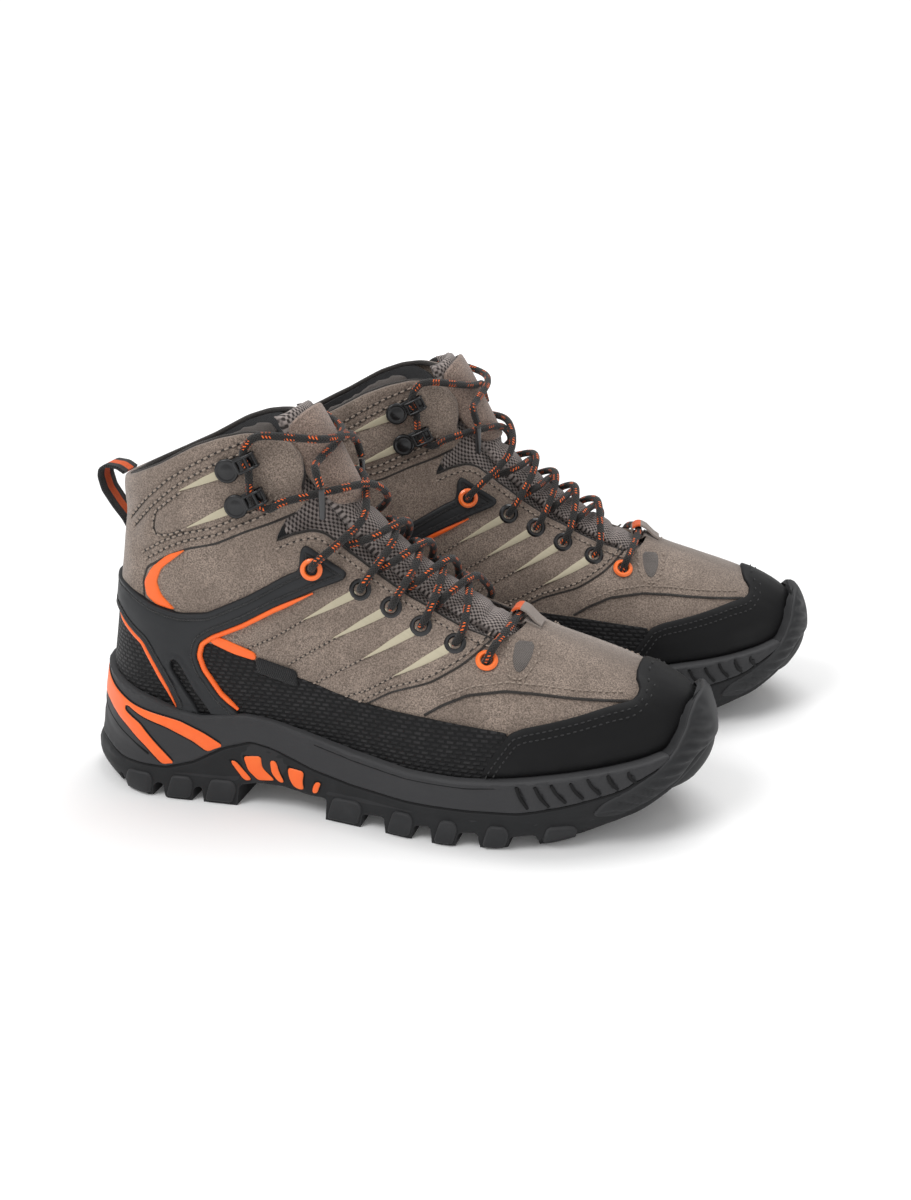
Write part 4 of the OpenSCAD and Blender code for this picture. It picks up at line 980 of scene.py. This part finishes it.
trim = Mesh()
for side in (LATERAL, MEDIAL):
    for line, d in ((cage_low[1:-1], 1.0), (cage_back[1:-1], 1.0)):
        p = resample(beside(rounded(line, longest=4), d), 1.2)
        keep = p[:, 0] > UPPER.back(p[:, 1]) + 1.0
        p = p[keep]
        q = UPPER.at(p[:, 0], p[:, 1], side, 1.55)
        n = UPPER.facing(p[:, 0], p[:, 1], side)
        s = path_length(q)
        taper = 0.35 + 0.65 * ease(0, 16, s) * (0.4 + 0.6 * ease(0, 6, s[-1] - s))
        tube(q, 1.35 * taper, 10, trim, flat=0.85, up=n)
panel(UPPER, [crescent], 0.1, 1.7, 1.6, 0.7, mesh=trim, rim=1.0)
panel(UPPER, [[(78, 83.5), (84, 82.5), (101, 76), (101, 72.3), (90, 75), (79, 79.5)]], 0.9, 1.9, 1.6, 0.6,
      mesh=trim, rim=1.0)
emit("orange_trim", trim, M["orange"], nodes=("piping",))

stripes = Mesh()
for tip, root in zip(np.array(stripe_tips, float), np.array(stripe_roots, float)):
    u = unit(root - tip)
    w = np.array([-u[1], u[0]])
    n = np.linalg.norm(root - tip)
    blade = [tip + u * (n * k) + w * h * 2.1 for k, h in (
        (-0.12, 0.08), (0.3, 0.42), (0.65, 0.8), (1.2, 1), (1.2, -1), (0.65, -0.7), (0.3, -0.42), (-0.12,
        -0.08))]
    on_cuff = tip[0] < 100
    panel(UPPER, [blade], 0.3 if not on_cuff else 0.6, 1.05 if not on_cuff else 1.85, 1.3, 0.25,
          mesh=stripes, rim=0.8)
emit("claw_stripes_film", stripes, M["cream"], nodes=("claw_stripes",))

# ---------------------------------------------------------------- collar, lining and padding
lining_outline = [(-8, 25), (80, 25), (190, 16.5), (240, 16.5), (240, 52), (196, 56), (165, 78), (140, 96),
                  (116, 112), (104, 126), (108, 140), (112, 160), (108, 171), (98, 175), (90, 173.5), (78,
                  169.5),
                  (60, 160.5), (45, 154.5), (30, 149), (-8, 148.5)]
emit("lining_cloth", panel(UPPER, [lining_outline], -4.8, -3.9, 3.5, 0.3), M["lining"], nodes=("lining",))
binding = Mesh()
rim_path = resample(rounded([(heel_line(150) + 0.01, 150)] + collar_line[1:] + cuff_front[:2]), 2.0)
for side in (LATERAL, MEDIAL):
    a = UPPER.angle(rim_path[:, 0], rim_path[:, 1])
    a = a if side == LATERAL else 360 - a
    q = UPPER.raised(a, rim_path[:, 1] - 0.4, np.full(len(a), -2.9))
    tube(q, 1.35, 10, binding)
    p = resample(beside(rounded(throat_line), 0.5), 2.0)
    tube(UPPER.at(p[:, 0], p[:, 1], side, -1.2), 0.65, 8, binding)
emit("edge_binding", binding, M["binding"])


def inflate(name, mesh, voxel, cap, pressure=4.0):
    """Cloth simulation of a padded piece: remeshed, blown up, no point moving more than cap mm."""
    v, f, _, _ = mesh.done()
    data = bpy.data.meshes.new(name)
    data.from_pydata((v / 1000).tolist(), [], f)
    obj = bpy.data.objects.new(name, data)
    bpy.context.scene.collection.objects.link(obj)

    def apply():
        bpy.context.view_layer.update()
        graph = bpy.context.evaluated_depsgraph_get()
        new = bpy.data.meshes.new_from_object(obj.evaluated_get(graph))
        obj.modifiers.clear()
        obj.data = new

    remesh = obj.modifiers.new("remesh", "REMESH")
    remesh.mode, remesh.voxel_size = "VOXEL", voxel / 1000
    apply()
    read = lambda m: np.array([p.co[:] for p in m.vertices])
    rest = read(obj.data)
    cloth = obj.modifiers.new("cloth", "CLOTH")
    cloth.settings.use_pressure = True
    cloth.settings.uniform_pressure_force = pressure
    cloth.settings.effector_weights.gravity = 0
    cloth.point_cache.frame_start, cloth.point_cache.frame_end = 1, 20
    for k in range(1, 21):
        bpy.context.scene.frame_set(k)
    apply()
    bpy.context.scene.frame_set(1)
    move = read(obj.data) - rest
    far = np.linalg.norm(move, axis=1, keepdims=True)
    move *= np.minimum(1, cap / 1000 / np.maximum(far, 1e-9))
    obj.data.vertices.foreach_set("co", (rest + move).ravel())
    smooth = obj.modifiers.new("smooth", "SMOOTH")
    smooth.factor, smooth.iterations = 0.5, 4
    finer = obj.modifiers.new("finer", "SUBSURF")
    finer.levels = 1
    apply()
    v = read(obj.data) * 1000
    f = [tuple(p.vertices) for p in obj.data.polygons]
    bpy.data.objects.remove(obj)
    return v, f


pad_outline = [(-8, 118), (60, 118), (84, 124), (94, 134), (97, 150), (97, 166), (90, 171.5), (78, 168),
               (60, 159),
               (45, 153), (30, 147.5), (-8, 147)]
v, f = inflate("pad", panel(UPPER, [pad_outline], -8.2, -5.0, 4.0, 1.0), 2.6, 1.8)
side = np.where(v[:, 1] < swing(v[:, 0]), LATERAL, MEDIAL)
a = UPPER.angle(v[:, 0], v[:, 2])
pad_mesh = (v, f, np.column_stack([np.where(side < 0, 1, -1) * UPPER.arc(a), v[:, 2]]), np.full(len(v), 9.0))
emit("collar_padding", pad_mesh, M["pad"], nodes=("collar_pad",))

# ---------------------------------------------------------------- tongue
body = Mesh()
spread = curve([(0, 1.05), (0.3, 1.22), (0.6, 1.22), (0.85, 1.2), (1, 1.15)])
rows = []
for s in np.linspace(0, 1, 40):
    vs = np.linspace(-0.97, 0.97, 17) * spread(s)
    rows.append(np.vstack([tongue_point(s, vs, -0.6), tongue_point(s, vs[::-1], -5.4)]))
rows = np.array(rows)
grid(rows, body, wrap=True)
k = rows.shape[1]
body.add(rows[0], [tuple(range(k))])
body.add(rows[-1], [tuple(reversed(range(k)))])
v, f = inflate("tongue", body, 2.6, 2.2, 5.0)
ss = np.linspace(0, 1, 400)
mid = np.column_stack([tongue_x(ss), tongue_z(ss)])
near = np.argmin(((v[:, None, [0, 2]] - mid[None]) ** 2).sum(-1), axis=1)
s = ss[near]
d = unit(np.column_stack([tongue_x(s + 0.01) - tongue_x(s - 0.01), tongue_z(s + 0.01) - tongue_z(s - 0.01)]))
out = np.column_stack([d[:, 1], -d[:, 0]])
height = ((v[:, [0, 2]] - mid[near]) * out).sum(1)
row_s = [0.13, 0.25, 0.36, 0.46, 0.56, 0.66]
channels = [0.07] + [(p + q) / 2 for p, q in zip(row_s[:-1], row_s[1:])] + [0.715]
groove = sum(np.exp(-((s - c) / 0.014) ** 2) for c in channels)
pillow = 0.9 * np.abs(np.sin(np.pi * (s - 0.085) / 0.105)) ** 0.7 * (s > 0.06) * (s < 0.74)
across = np.clip(1 - ((v[:, 1] - swing(v[:, 0])) / (tongue_half(s) * spread(s) * 1.02)) ** 2, 0, 1)
top = ease(-4.5, -1.5, height)
v = v + ((pillow - 1.3 * groove) * top * across)[:, None] * np.column_stack([out[:, 0], 0 * s, out[:, 1]])
tongue_mesh = (v, f, np.column_stack([v[:, 1] - swing(v[:, 0]), s * 155]), np.full(len(v), 9.0))
emit("tongue_padding", tongue_mesh, M["tongue"], body="tongue", nodes=("tongue",))


gusset = []
gusset_uv = []
gusset_line = [(117, 162), (117, 150), (115, 138), (118, 129), (128, 129), (140, 121), (157, 108), (169,
                                                            100.5), (186, 91.5),
               (207, 84)]
for p in resample(rounded(gusset_line), 3.0):
    s = ss[np.argmin(((p - mid) ** 2).sum(-1))]
    ends = [UPPER.at(p[0], p[1], side, -2.6) for side in (LATERAL, MEDIAL)]
    inner = [tongue_point(s, side, -4.6) for side in (LATERAL, MEDIAL)]
    way = np.array([ends[0], (ends[0] + inner[0]) / 2 - [0.4, 0, 1.2], inner[0], inner[1],
                    (ends[1] + inner[1]) / 2 - [0.4, 0, 1.2],
                    ends[1]])
    gusset.append(np.vstack([way, way[::-1] - [0.5, 0, 1.0]]))
    gusset_uv.append(np.column_stack([gusset[-1][:, 1], np.full(12, s * 155)]))
gusset_mesh = grid(np.array(gusset), uv=np.array(gusset_uv), wrap=True)
gusset_mesh.add(gusset[0], [tuple(range(12))])
gusset_mesh.add(gusset[-1], [tuple(reversed(range(12)))])
emit("tongue_gusset", gusset_mesh, M["tongue"])


def tongue_plate(s0, s1, width, t0, t1, crown, rows=22, cols=26):
    """Rounded plate lying on the tongue."""
    m = Mesh()
    q = np.linspace(-1, 1, cols)
    p = np.linspace(-1, 1, rows)
    def lay(t, shrink):
        out = []
        for i in p:
            line = []
            for j in q:
                e = (1 - 0.16 * i**2 * j**2) * shrink
                rise = crown * (1 - i**2) * (1 - j**2)
                line.append((s0 + s1) / 2 + (s1 - s0) / 2 * i * e + (0.012 * (1 - j * j) * (i < 0) * i))
                line.append(width * j * e)
                line.append(t + rise)
            out.append(np.array(line).reshape(-1, 3))
        g = np.array(out)
        return tongue_point(g[..., 0], g[..., 1], g[..., 2])
    top, under = lay(t1, 0.975), lay(t0, 1.0)
    grid(top[:, ::-1], m, np.stack(np.meshgrid(q[::-1] * 17, p * 15), -1))
    grid(under, m)
    border = lambda g: np.vstack([g[0], g[1:-1, -1], g[-1, ::-1], g[1:-1, 0][::-1]])
    walls = np.array([border(under), border(lay((t0 + 2 * t1) / 3, 1.0)), border(top)])
    grid(walls, m, wrap=True)
    return m, border(lay(t1 + 0.1, 0.88))


patch, seam = tongue_plate(0.75, 0.985, 1.1, 0.2, 2.3, 2.4)
emit("tongue_patch_leather", patch, M["patch"], body="tongue", nodes=("tongue_patch",))
patch_thread = Mesh()
seam = resample(seam, 3.0, closed=True)
for i in range(len(seam)):
    along = seam[(i + 1) % len(seam)] - seam[i - 1]
    s0 = ss[np.argmin(((seam[i, [0, 2]] - mid) ** 2).sum(-1))]
    axis = np.array([tongue_x(s0 + .01) - tongue_x(s0 - .01), 0, tongue_z(s0 + .01) - tongue_z(s0 - .01)])
    up = unit(np.cross(unit(axis), np.array([0.0, 1.0, 0.0])))
    up = up if up[0] > 0 else -up
    lean = unit(up + np.array([0, (seam[i, 1] - swing(seam[i, 0])) / 22, 0]))
    stitch(patch_thread, seam[i], along, lean, 2.2, 0.38)
emit("patch_threads", patch_thread, M["thread"], body="tongue", weld=False)

# ---------------------------------------------------------------- sole unit
WALL_DEPTH = 3.2                  # how far the outsole's side wall goes in


def wall_relief(x, z, d):
    rim = 0.6 * np.exp(-((d - 1.6) / 1.2) ** 2) * ease(8, 14, z)
    step = -0.5 * ease(1.0, -1.0, np.abs(z - 13.5) - 0.6) * ease(2, 3.5, d)
    return rim + step


sole_outline = tread + [(320, 50), (320, 61.5)] + bumper_edge[::-1] + low_line[::-1]
sole_wall = panel(SOLE, [sole_outline], -WALL_DEPTH, 0.25, 2.0, 0.6, wall_relief, rim=1.1)
panel(SOLE, [[(250, 24), (264, 22), (320, 22), (320, 61.0)] + bumper_edge[::-1][1:-1]], -11, 0.1, 2.0, 0.6,
      mesh=sole_wall, rim=1.1)
emit("outsole_wall", sole_wall, M["outsole"])
groove_pairs = [[(227, 32), (232, 22)], [(235, 32.5), (241, 23)], [(242, 33.5), (248, 25)], [(250, 34.5),
                                                            (255, 26.5)],
                [(257, 36), (262, 28)], [(265, 37), (269, 29.5)], [(273, 37.5), (276, 31.5)]]
midsole_lines = [[(88, 41), (108, 40), (129, 35), (149, 30.5), (175, 27.5), (205, 27.3), (222, 29)],
                 [(8, 33), (20, 27), (36, 23.5), (48, 22.5)]]


def midsole_relief(x, z, d):
    cut = seam_cut(distance(x, z, groove_pairs), 1.1, 0.8)
    crease = seam_cut(distance(x, z, midsole_lines), 0.35, 2.2)
    lip = 0.7 * np.exp(-((d - 1.6) / 1.4) ** 2)
    return cut + crease + lip


midsole_outline = low_line + midsole_top[::-1]
emit("midsole_wall", panel(SOLE, [midsole_outline], -11, 0.1, 1.5, 1.3, midsole_relief, rim=1.4),
     M["midsole"],
     nodes=("midsole",))
bumper_outline = [(297, 62), (295.3, 57), (294.3, 51), (290.3, 42), (284, 35.5), (274, 29), (263, 23.5),
                  (258, 17),
                  (268, 15), (281, 20), (292, 28), (299, 38), (320, 46), (320, 62)]


def bumper_relief(x, z, d):
    ridge = np.sin((z * 1.0 + (x - 290) * 0.35 + 1.2 * np.sin(x / 4)) * 2 * math.pi / 5.2)
    return 0.8 * ridge * ease(0.5, 3.5, d) + 0.6 * ease(0, 5, d)


emit("toe_bumper", panel(SOLE, [bumper_outline], -1.5, 1.3, 1.0, 1.1, bumper_relief, rim=1.0), M["bumper"])
chevron = [(-8, 59.5), (8, 56.5), (22, 50.5), (37, 46), (62, 41), (74, 36), (84, 30), (75, 26), (68, 31),
           (55, 37), (42, 41), (33, 44.5), (31, 42), (41, 37.5), (49, 28), (58, 18.5), (51, 17.5), (43, 26),
           (33, 34), (19, 41), (-8, 45.5)]
emit("heel_chevron", panel(SOLE, [chevron], -2, 0.75, 1.6, 0.7, rim=1.2), M["orange"], nodes=("heel_insert",))
rib_bars = [[(86, 23), (89, 23.4), (97, 14.2), (93, 13.4)],
            [(93, 26), (102, 27), (102.5, 21), (109, 15.4), (100, 14.4), (95, 19)],
            [(106.5, 25.4), (110, 25.6), (111, 20), (114, 15), (110.5, 15), (107, 19)],
            [(115.5, 23.4), (124.5, 22.6), (123, 17), (124, 13), (118.5, 13.6), (116, 18)],
            [(129.5, 18.4), (133, 18.8), (130.5, 12.6), (127.5, 12.8)]]
ribs = Mesh()
for bar in rib_bars:
    panel(SOLE, [bar], -1.5, 1.1, 1.2, 0.7, mesh=ribs, rim=0.8)
lugs = Mesh()
for a, b in ((28, 43), (52, 64), (72, 86), (135, 151), (166, 177), (189, 198), (211, 221), (236, 249)):
    panel(SOLE, [[(a, 1.2), (b, 1.2), (b + 2.6, 9), (b + 1, 12.5), (a + 4, 12.5), (a + 2.4, 9)]], -1, 1.5,
          1.3, 1.2,
          mesh=lugs, rim=1.0)
emit("lug_faces", lugs, M["bumper"])
# Near-black lines in the sole's grooves and creases, along the outsole's joint with the midsole and round the
# orange chevron and rib bars: painted shade.
lines = Mesh()
for pair in groove_pairs:
    inlay(lines, [pair[0], tuple((np.array(pair[0]) + pair[1]) / 2 + [-1, 0]), pair[1]], 0.15, 0.8, SOLE)
inlay(lines, low_line, 0.25, 0.6, SOLE)
inlay(lines, chevron + chevron[:1], 0.25, 0.55, SOLE)
for bar in rib_bars:
    inlay(lines, bar + bar[:1], 0.35, 0.5, SOLE)
for line in [(130, 37), (150, 32.5), (175, 29.5), (205, 29), (222, 31)], [(8, 38), (20, 34), (34, 28), (44,
                                                            22)]:
    inlay(lines, line, 0.05, 0.45, SOLE)
emit("sole_shade_lines", lines, M["cap"], weld=False)
emit("arch_rib_bars", ribs, M["orange"], nodes=("arch_ribs",))

# ---------------------------------------------------------------- footbed
bed, steps = Mesh(), 72
top_rows, low_rows = [], []
a = np.arange(steps) * 360 / steps
board = lambda x: np.interp(x, [-5, 80, 190, 310], [24.5, 24.5, 15.5, 15.5])
z0 = 30.0
rim_at = UPPER.raised(a, np.full(steps, z0), np.full(steps, -6.9))
centre = np.array([150.0, swing(150.0), z0])
for r in (0.02, 0.2, 0.4, 0.6, 0.78, 0.9, 0.97, 1.0):
    q = centre + np.column_stack([r * (rim_at[:, 0] - 150), np.zeros(steps), np.zeros(steps)])
    q[:, 1] = swing(q[:, 0]) + r * (rim_at[:, 1] - swing(rim_at[:, 0]))
    up = q.copy()
    up[:, 2] = board(q[:, 0]) + 4.2 + 1.0 * r**6 - 0.6 * ease(0.9, 1.0, r)
    low = q.copy()
    low[:, 2] = board(q[:, 0]) + 0.3
    top_rows.append(up)
    low_rows.append(low)
uv = [np.column_stack([q[:, 0], q[:, 1]]) for q in top_rows]
grid(np.array(top_rows), bed, np.array(uv), wrap=True)
grid(np.array(low_rows[::-1]), bed, np.array(uv[::-1]), wrap=True)
grid(np.array([top_rows[-1], low_rows[-1]]), bed, np.array([uv[-1], uv[-1]]), wrap=True)
bed.add(top_rows[0], [tuple(range(steps))])
bed.add(low_rows[0], [tuple(reversed(range(steps)))])
emit("footbed_cover", bed, M["bed"], body="footbed", nodes=("footbed",))

# ---------------------------------------------------------------- hooks
HOOK_TILT = 0.45


def flank_frame(p, side, t=0.0):
    n = unit(UPPER.facing(p[0], p[1], side))
    along = UPPER.at(p[0] + 1, p[1] + HOOK_TILT, side) - UPPER.at(p[0], p[1], side)
    u = unit(along - np.dot(along, n) * n)
    return UPPER.at(p[0], p[1], side, t), u, np.cross(n, u), n


hooks, rivets = Mesh(), Mesh()
for stud in stud_at:
    for side in (LATERAL, MEDIAL):
        o, u, w, n = flank_frame(stud, side, 1.6)
        spot = lambda x, y, z: o + x * u + y * w + z * n
        base = np.array([spot(x, 0, 0.55) for x in np.linspace(-4.3, 12.6, 12)])
        strip(base, w, 7.2, 0.9, hooks)
        for y in (-2.9, 2.9):
            arm = spline([spot(9.5, y, 0.9), spot(12.4, y, 1.1), spot(13.2, y, 3.2), spot(12.4, y, 5.4),
                          spot(10.5, y, 6.1), spot(7, y, 6.1), spot(4.4, y, 5.7)], 5)
            tube(arm, 0.72, 8, hooks)
        for x, z in ((4.4, 5.7), (9.6, 6.1), (12.8, 4.4)):
            tube(np.array([spot(x, y, z) for y in np.linspace(-2.9, 2.9, 5)]), 0.7, 8, hooks)
        c = spot(-1.6, 0, 1.0)
        lathe([(0.01, 0.1), (5.2, 0.1), (5.5, 0.5), (5.45, 1.0), (5.0, 1.45), (4.3, 1.6), (4.0, 1.35), (3.7,
                                                            1.3),
               (2.6, 1.55), (1.3, 1.75), (0.01, 1.8)], c, u, w, n, rivets, 32)
emit("hook_wire", hooks, M["black_metal"], nodes=("lace_hooks",), sharp=60)
emit("rivet_caps", rivets, M["black_metal"], nodes=("hook_rivets",), sharp=60)

# ---------------------------------------------------------------- lace
lace_r, cage_t = 1.8, 3.2
lace_over, lace_under, bend = 4.0, 5.6, 4.9
throat_way = np.array([3.2, 5.2])
lay_low, lay_high = lace_r + 2, 3 * lace_r + 2.3
knot_s, keeper_s, keeper_r, tip_l = 0.9, 0.11, 4.2, 14.0
hook_way = unit([1, HOOK_TILT])
on = lambda p, side, t: UPPER.at(float(p[0]), float(p[1]), side, t)
by_hook = lambda stud, u, v: np.array(stud) + u * hook_way + v * np.array([-hook_way[1], hook_way[0]])
TP = lambda s, v, t: tongue_point(s, v, t)


def up_through(p, side, t):
    return [on(p + 0.15 * throat_way, side, 0.3 - lace_under), on(p - 0.06 * throat_way, side, -0.5),
            on(p + 0.75 * throat_way, side, t + lace_over)]


def over_to(k, side, h):
    return [TP(row_s[k] + 0.02, 0.75 * side, lay_low + 0.45 * (h - lay_low) + 0.6),
            TP((row_s[k] + row_s[k + 1]) / 2, 0, h),
            TP(row_s[k + 1] - 0.02, -0.95 * side, lay_low),
            on(lace_rows[k + 1] + 1.2 * throat_way, -side, -lace_under - 0.8)]


def round_hooks(side):
    lo, hi = stud_at
    places = [by_hook(lo, 18, -7), by_hook(lo, 10.5, -6.6), by_hook(lo, 7, -2), by_hook(lo, 7, 3),
              by_hook(hi, 7, -3), by_hook(hi, 7, 2), by_hook(hi, 10.5, 6.6), by_hook(hi, 17, 7)]
    return [on(p, side, bend) for p in places]


def lace_end(side):
    return TP(0.85, 0.9 * side, 13) + np.array([1, 3 * side, -4.0])


def half_lace(side):
    e = lace_rows
    first, second = (lay_high, lay_low) if side > 0 else (lay_low, lay_high)
    p = [on(e[0] + 0.75 * throat_way, side, lace_over), on(e[0] - 0.06 * throat_way, side, -0.5),
         on(e[0] + 0.1 * throat_way, side, -lace_under), on((e[0] + e[1]) / 2, side, -lace_under - 0.4)]
    for k in range(1, 5):
        s = side if k % 2 else -side
        p += up_through(e[k], s, 0) + over_to(k, s, first if k % 2 else second)
    p += up_through(e[5], side, cage_t)
    p += [TP(0.69, 0.8 * side, first + 1), TP(0.755, 0, first + 0.6), TP(0.8, -0.8 * side, lay_low + 3)]
    p += round_hooks(-side)
    p += [TP(knot_s + 0.02, -0.6 * side, first + 3), TP(knot_s, 0.1 * side, first + 2),
          TP(knot_s - 0.02, 0.8 * side, first + 5), lace_end(side) + np.array([-2, 0, 7.0]), lace_end(side)]
    return p


keeper_at = TP(keeper_s, 0, keeper_r + 0.8)
path = spline(half_lace(LATERAL)[::-1] + [keeper_at] + half_lace(MEDIAL), 6)
emit("lace_braid", tube(path, lace_r, 12), M["lace"], nodes=("lace",), sharp=80)
tips = Mesh()
for side in (LATERAL, MEDIAL):
    end = lace_end(side)
    z = -np.array([0, 0, 1.0])
    lathe([(0.01, 0), (1.45, 0), (1.6, 0.3), (1.5, 2), (1.5, tip_l - 1), (1.2, tip_l - 0.2), (0.01, tip_l)],
          end + z * 1.0, np.array([1.0, 0, 0]), np.array([0, -1.0, 0]), z, tips, 16)
emit("lace_tip_sheaths", tips, M["tip"], nodes=("lace_tips",))

turns = np.radians(np.linspace(60, 330, 22))
ring = [(math.cos(t) * 3.6, math.sin(t) * 3.6) for t in turns]
keeper_path = [(10.5, -3.9), (8, -2.2), (5.6, 0.2), (3.9, 2.0)] + ring + [(5.5, -3.0), (10.3, -5.2)]
keeper_path = np.array([[keeper_at[0] + x, keeper_at[1], keeper_at[2] + z] for x, z in keeper_path])
emit("keeper_loop", strip(keeper_path, (0, 1, 0), 9, 1.1), M["keeper"], nodes=("lace_keeper",))

# ---------------------------------------------------------------- heel loop and side tag
loop_path = rounded([(27.5, 151), (24, 153.3), (18, 154), (14.8, 152), (14, 148.5), (15.4, 142), (20,
                                                            134.5), (24.5, 128.5),
                     (26.2, 125)], longest=3)
loop_path = resample(loop_path, 1.2)
loop3 = np.column_stack([loop_path[:, 0] + 0.6, np.full(len(loop_path), swing(0.0)), loop_path[:, 1] - 1.0])
emit("heel_loop", strip(loop3, (0, 1, 0), 13.4, 1.6), M["loop"], body="pull_loop", nodes=("pull_loop",))
tag = panel(UPPER, [[(101, 74.5), (121, 69.5), (121.5, 62), (101.5, 67)]], 1.45, 2.3, 1.5, 0.3,
            sides=(LATERAL,),
            rim=1.0)
emit("side_label_blank", tag, M["tag"], body="side_tag", nodes=("side_tag",))

# ---------------------------------------------------------------- stage, light, camera
scene = bpy.context.scene
paper = Nodes("paper")
x, y, _ = paper.split(paper.coords())
away = paper.math("ADD", paper.math("MULTIPLY", x, x), paper.math("MULTIPLY", y, y))
paper_mat = paper.finish(paper.mix(paper.noise(3, 2), (0.93, 0.93, 0.93), (0.95, 0.95, 0.95)), 0.9,
                         Specular_IOR_Level=0.1, Emission_Color=(1, 1, 1, 1),
                         Emission_Strength=paper.span(away, 0.1, 1.3, 0.04, 0.42))
floor = bpy.data.meshes.new("floor")
floor.from_pydata([(-60, -60, 0), (60, -60, 0), (60, 60, 0), (-60, 60, 0)], [], [(0, 1, 2, 3)])
floor.materials.append(paper_mat)
floor_obj = bpy.data.objects.new("floor", floor)
scene.collection.objects.link(floor_obj)
world = bpy.data.worlds.new("studio")
world.use_nodes = True
world.node_tree.nodes["Background"].inputs["Color"].default_value = (1, 1, 1, 1)
paths = world.node_tree.nodes.new("ShaderNodeLightPath")
strength = world.node_tree.nodes.new("ShaderNodeMapRange")
strength.inputs["To Min"].default_value, strength.inputs["To Max"].default_value = 0.65, 1.1
world.node_tree.links.new(paths.outputs["Is Camera Ray"], strength.inputs["Value"])
world.node_tree.links.new(strength.outputs["Result"], world.node_tree.nodes["Background"].inputs["Strength"])
scene.world = world


def area(name, at, aim, size, power):
    light = bpy.data.lights.new(name, "AREA")
    light.shape, light.size, light.energy = "DISK", size, power
    obj = bpy.data.objects.new(name, light)
    scene.collection.objects.link(obj)
    obj.location = at
    obj.rotation_euler = (Vector(aim) - Vector(at)).to_track_quat("-Z", "Y").to_euler()


area("key", (-0.7, -0.9, 1.5), (0, 0, 0.06), 0.9, 13)
area("top", (0.3, 0.5, 1.7), (0, 0, 0.06), 1.2, 14)

az, el, roll = math.radians(11.6), math.radians(20.04), math.radians(-1.62)
back = Vector((math.sin(az) * math.cos(el), -math.cos(az) * math.cos(el), math.sin(el)))
right = Vector((math.cos(az), math.sin(az), 0))
up = back.cross(right)
x_axis = math.cos(roll) * right + math.sin(roll) * up
y_axis = -math.sin(roll) * right + math.cos(roll) * up
camera = bpy.data.cameras.new("camera")
camera.sensor_fit, camera.sensor_width = "AUTO", 36
camera.lens = 1467.37 / 1200 * 36
camera_obj = bpy.data.objects.new("camera", camera)
scene.collection.objects.link(camera_obj)
camera_obj.matrix_world = Matrix.Translation((0.1384, -0.6808, 0.3254)) @ Matrix(
    (x_axis, y_axis, back)).transposed().to_4x4()
scene.camera = camera_obj
scene.view_settings.view_transform = "Standard"

bpy.context.view_layer.update()
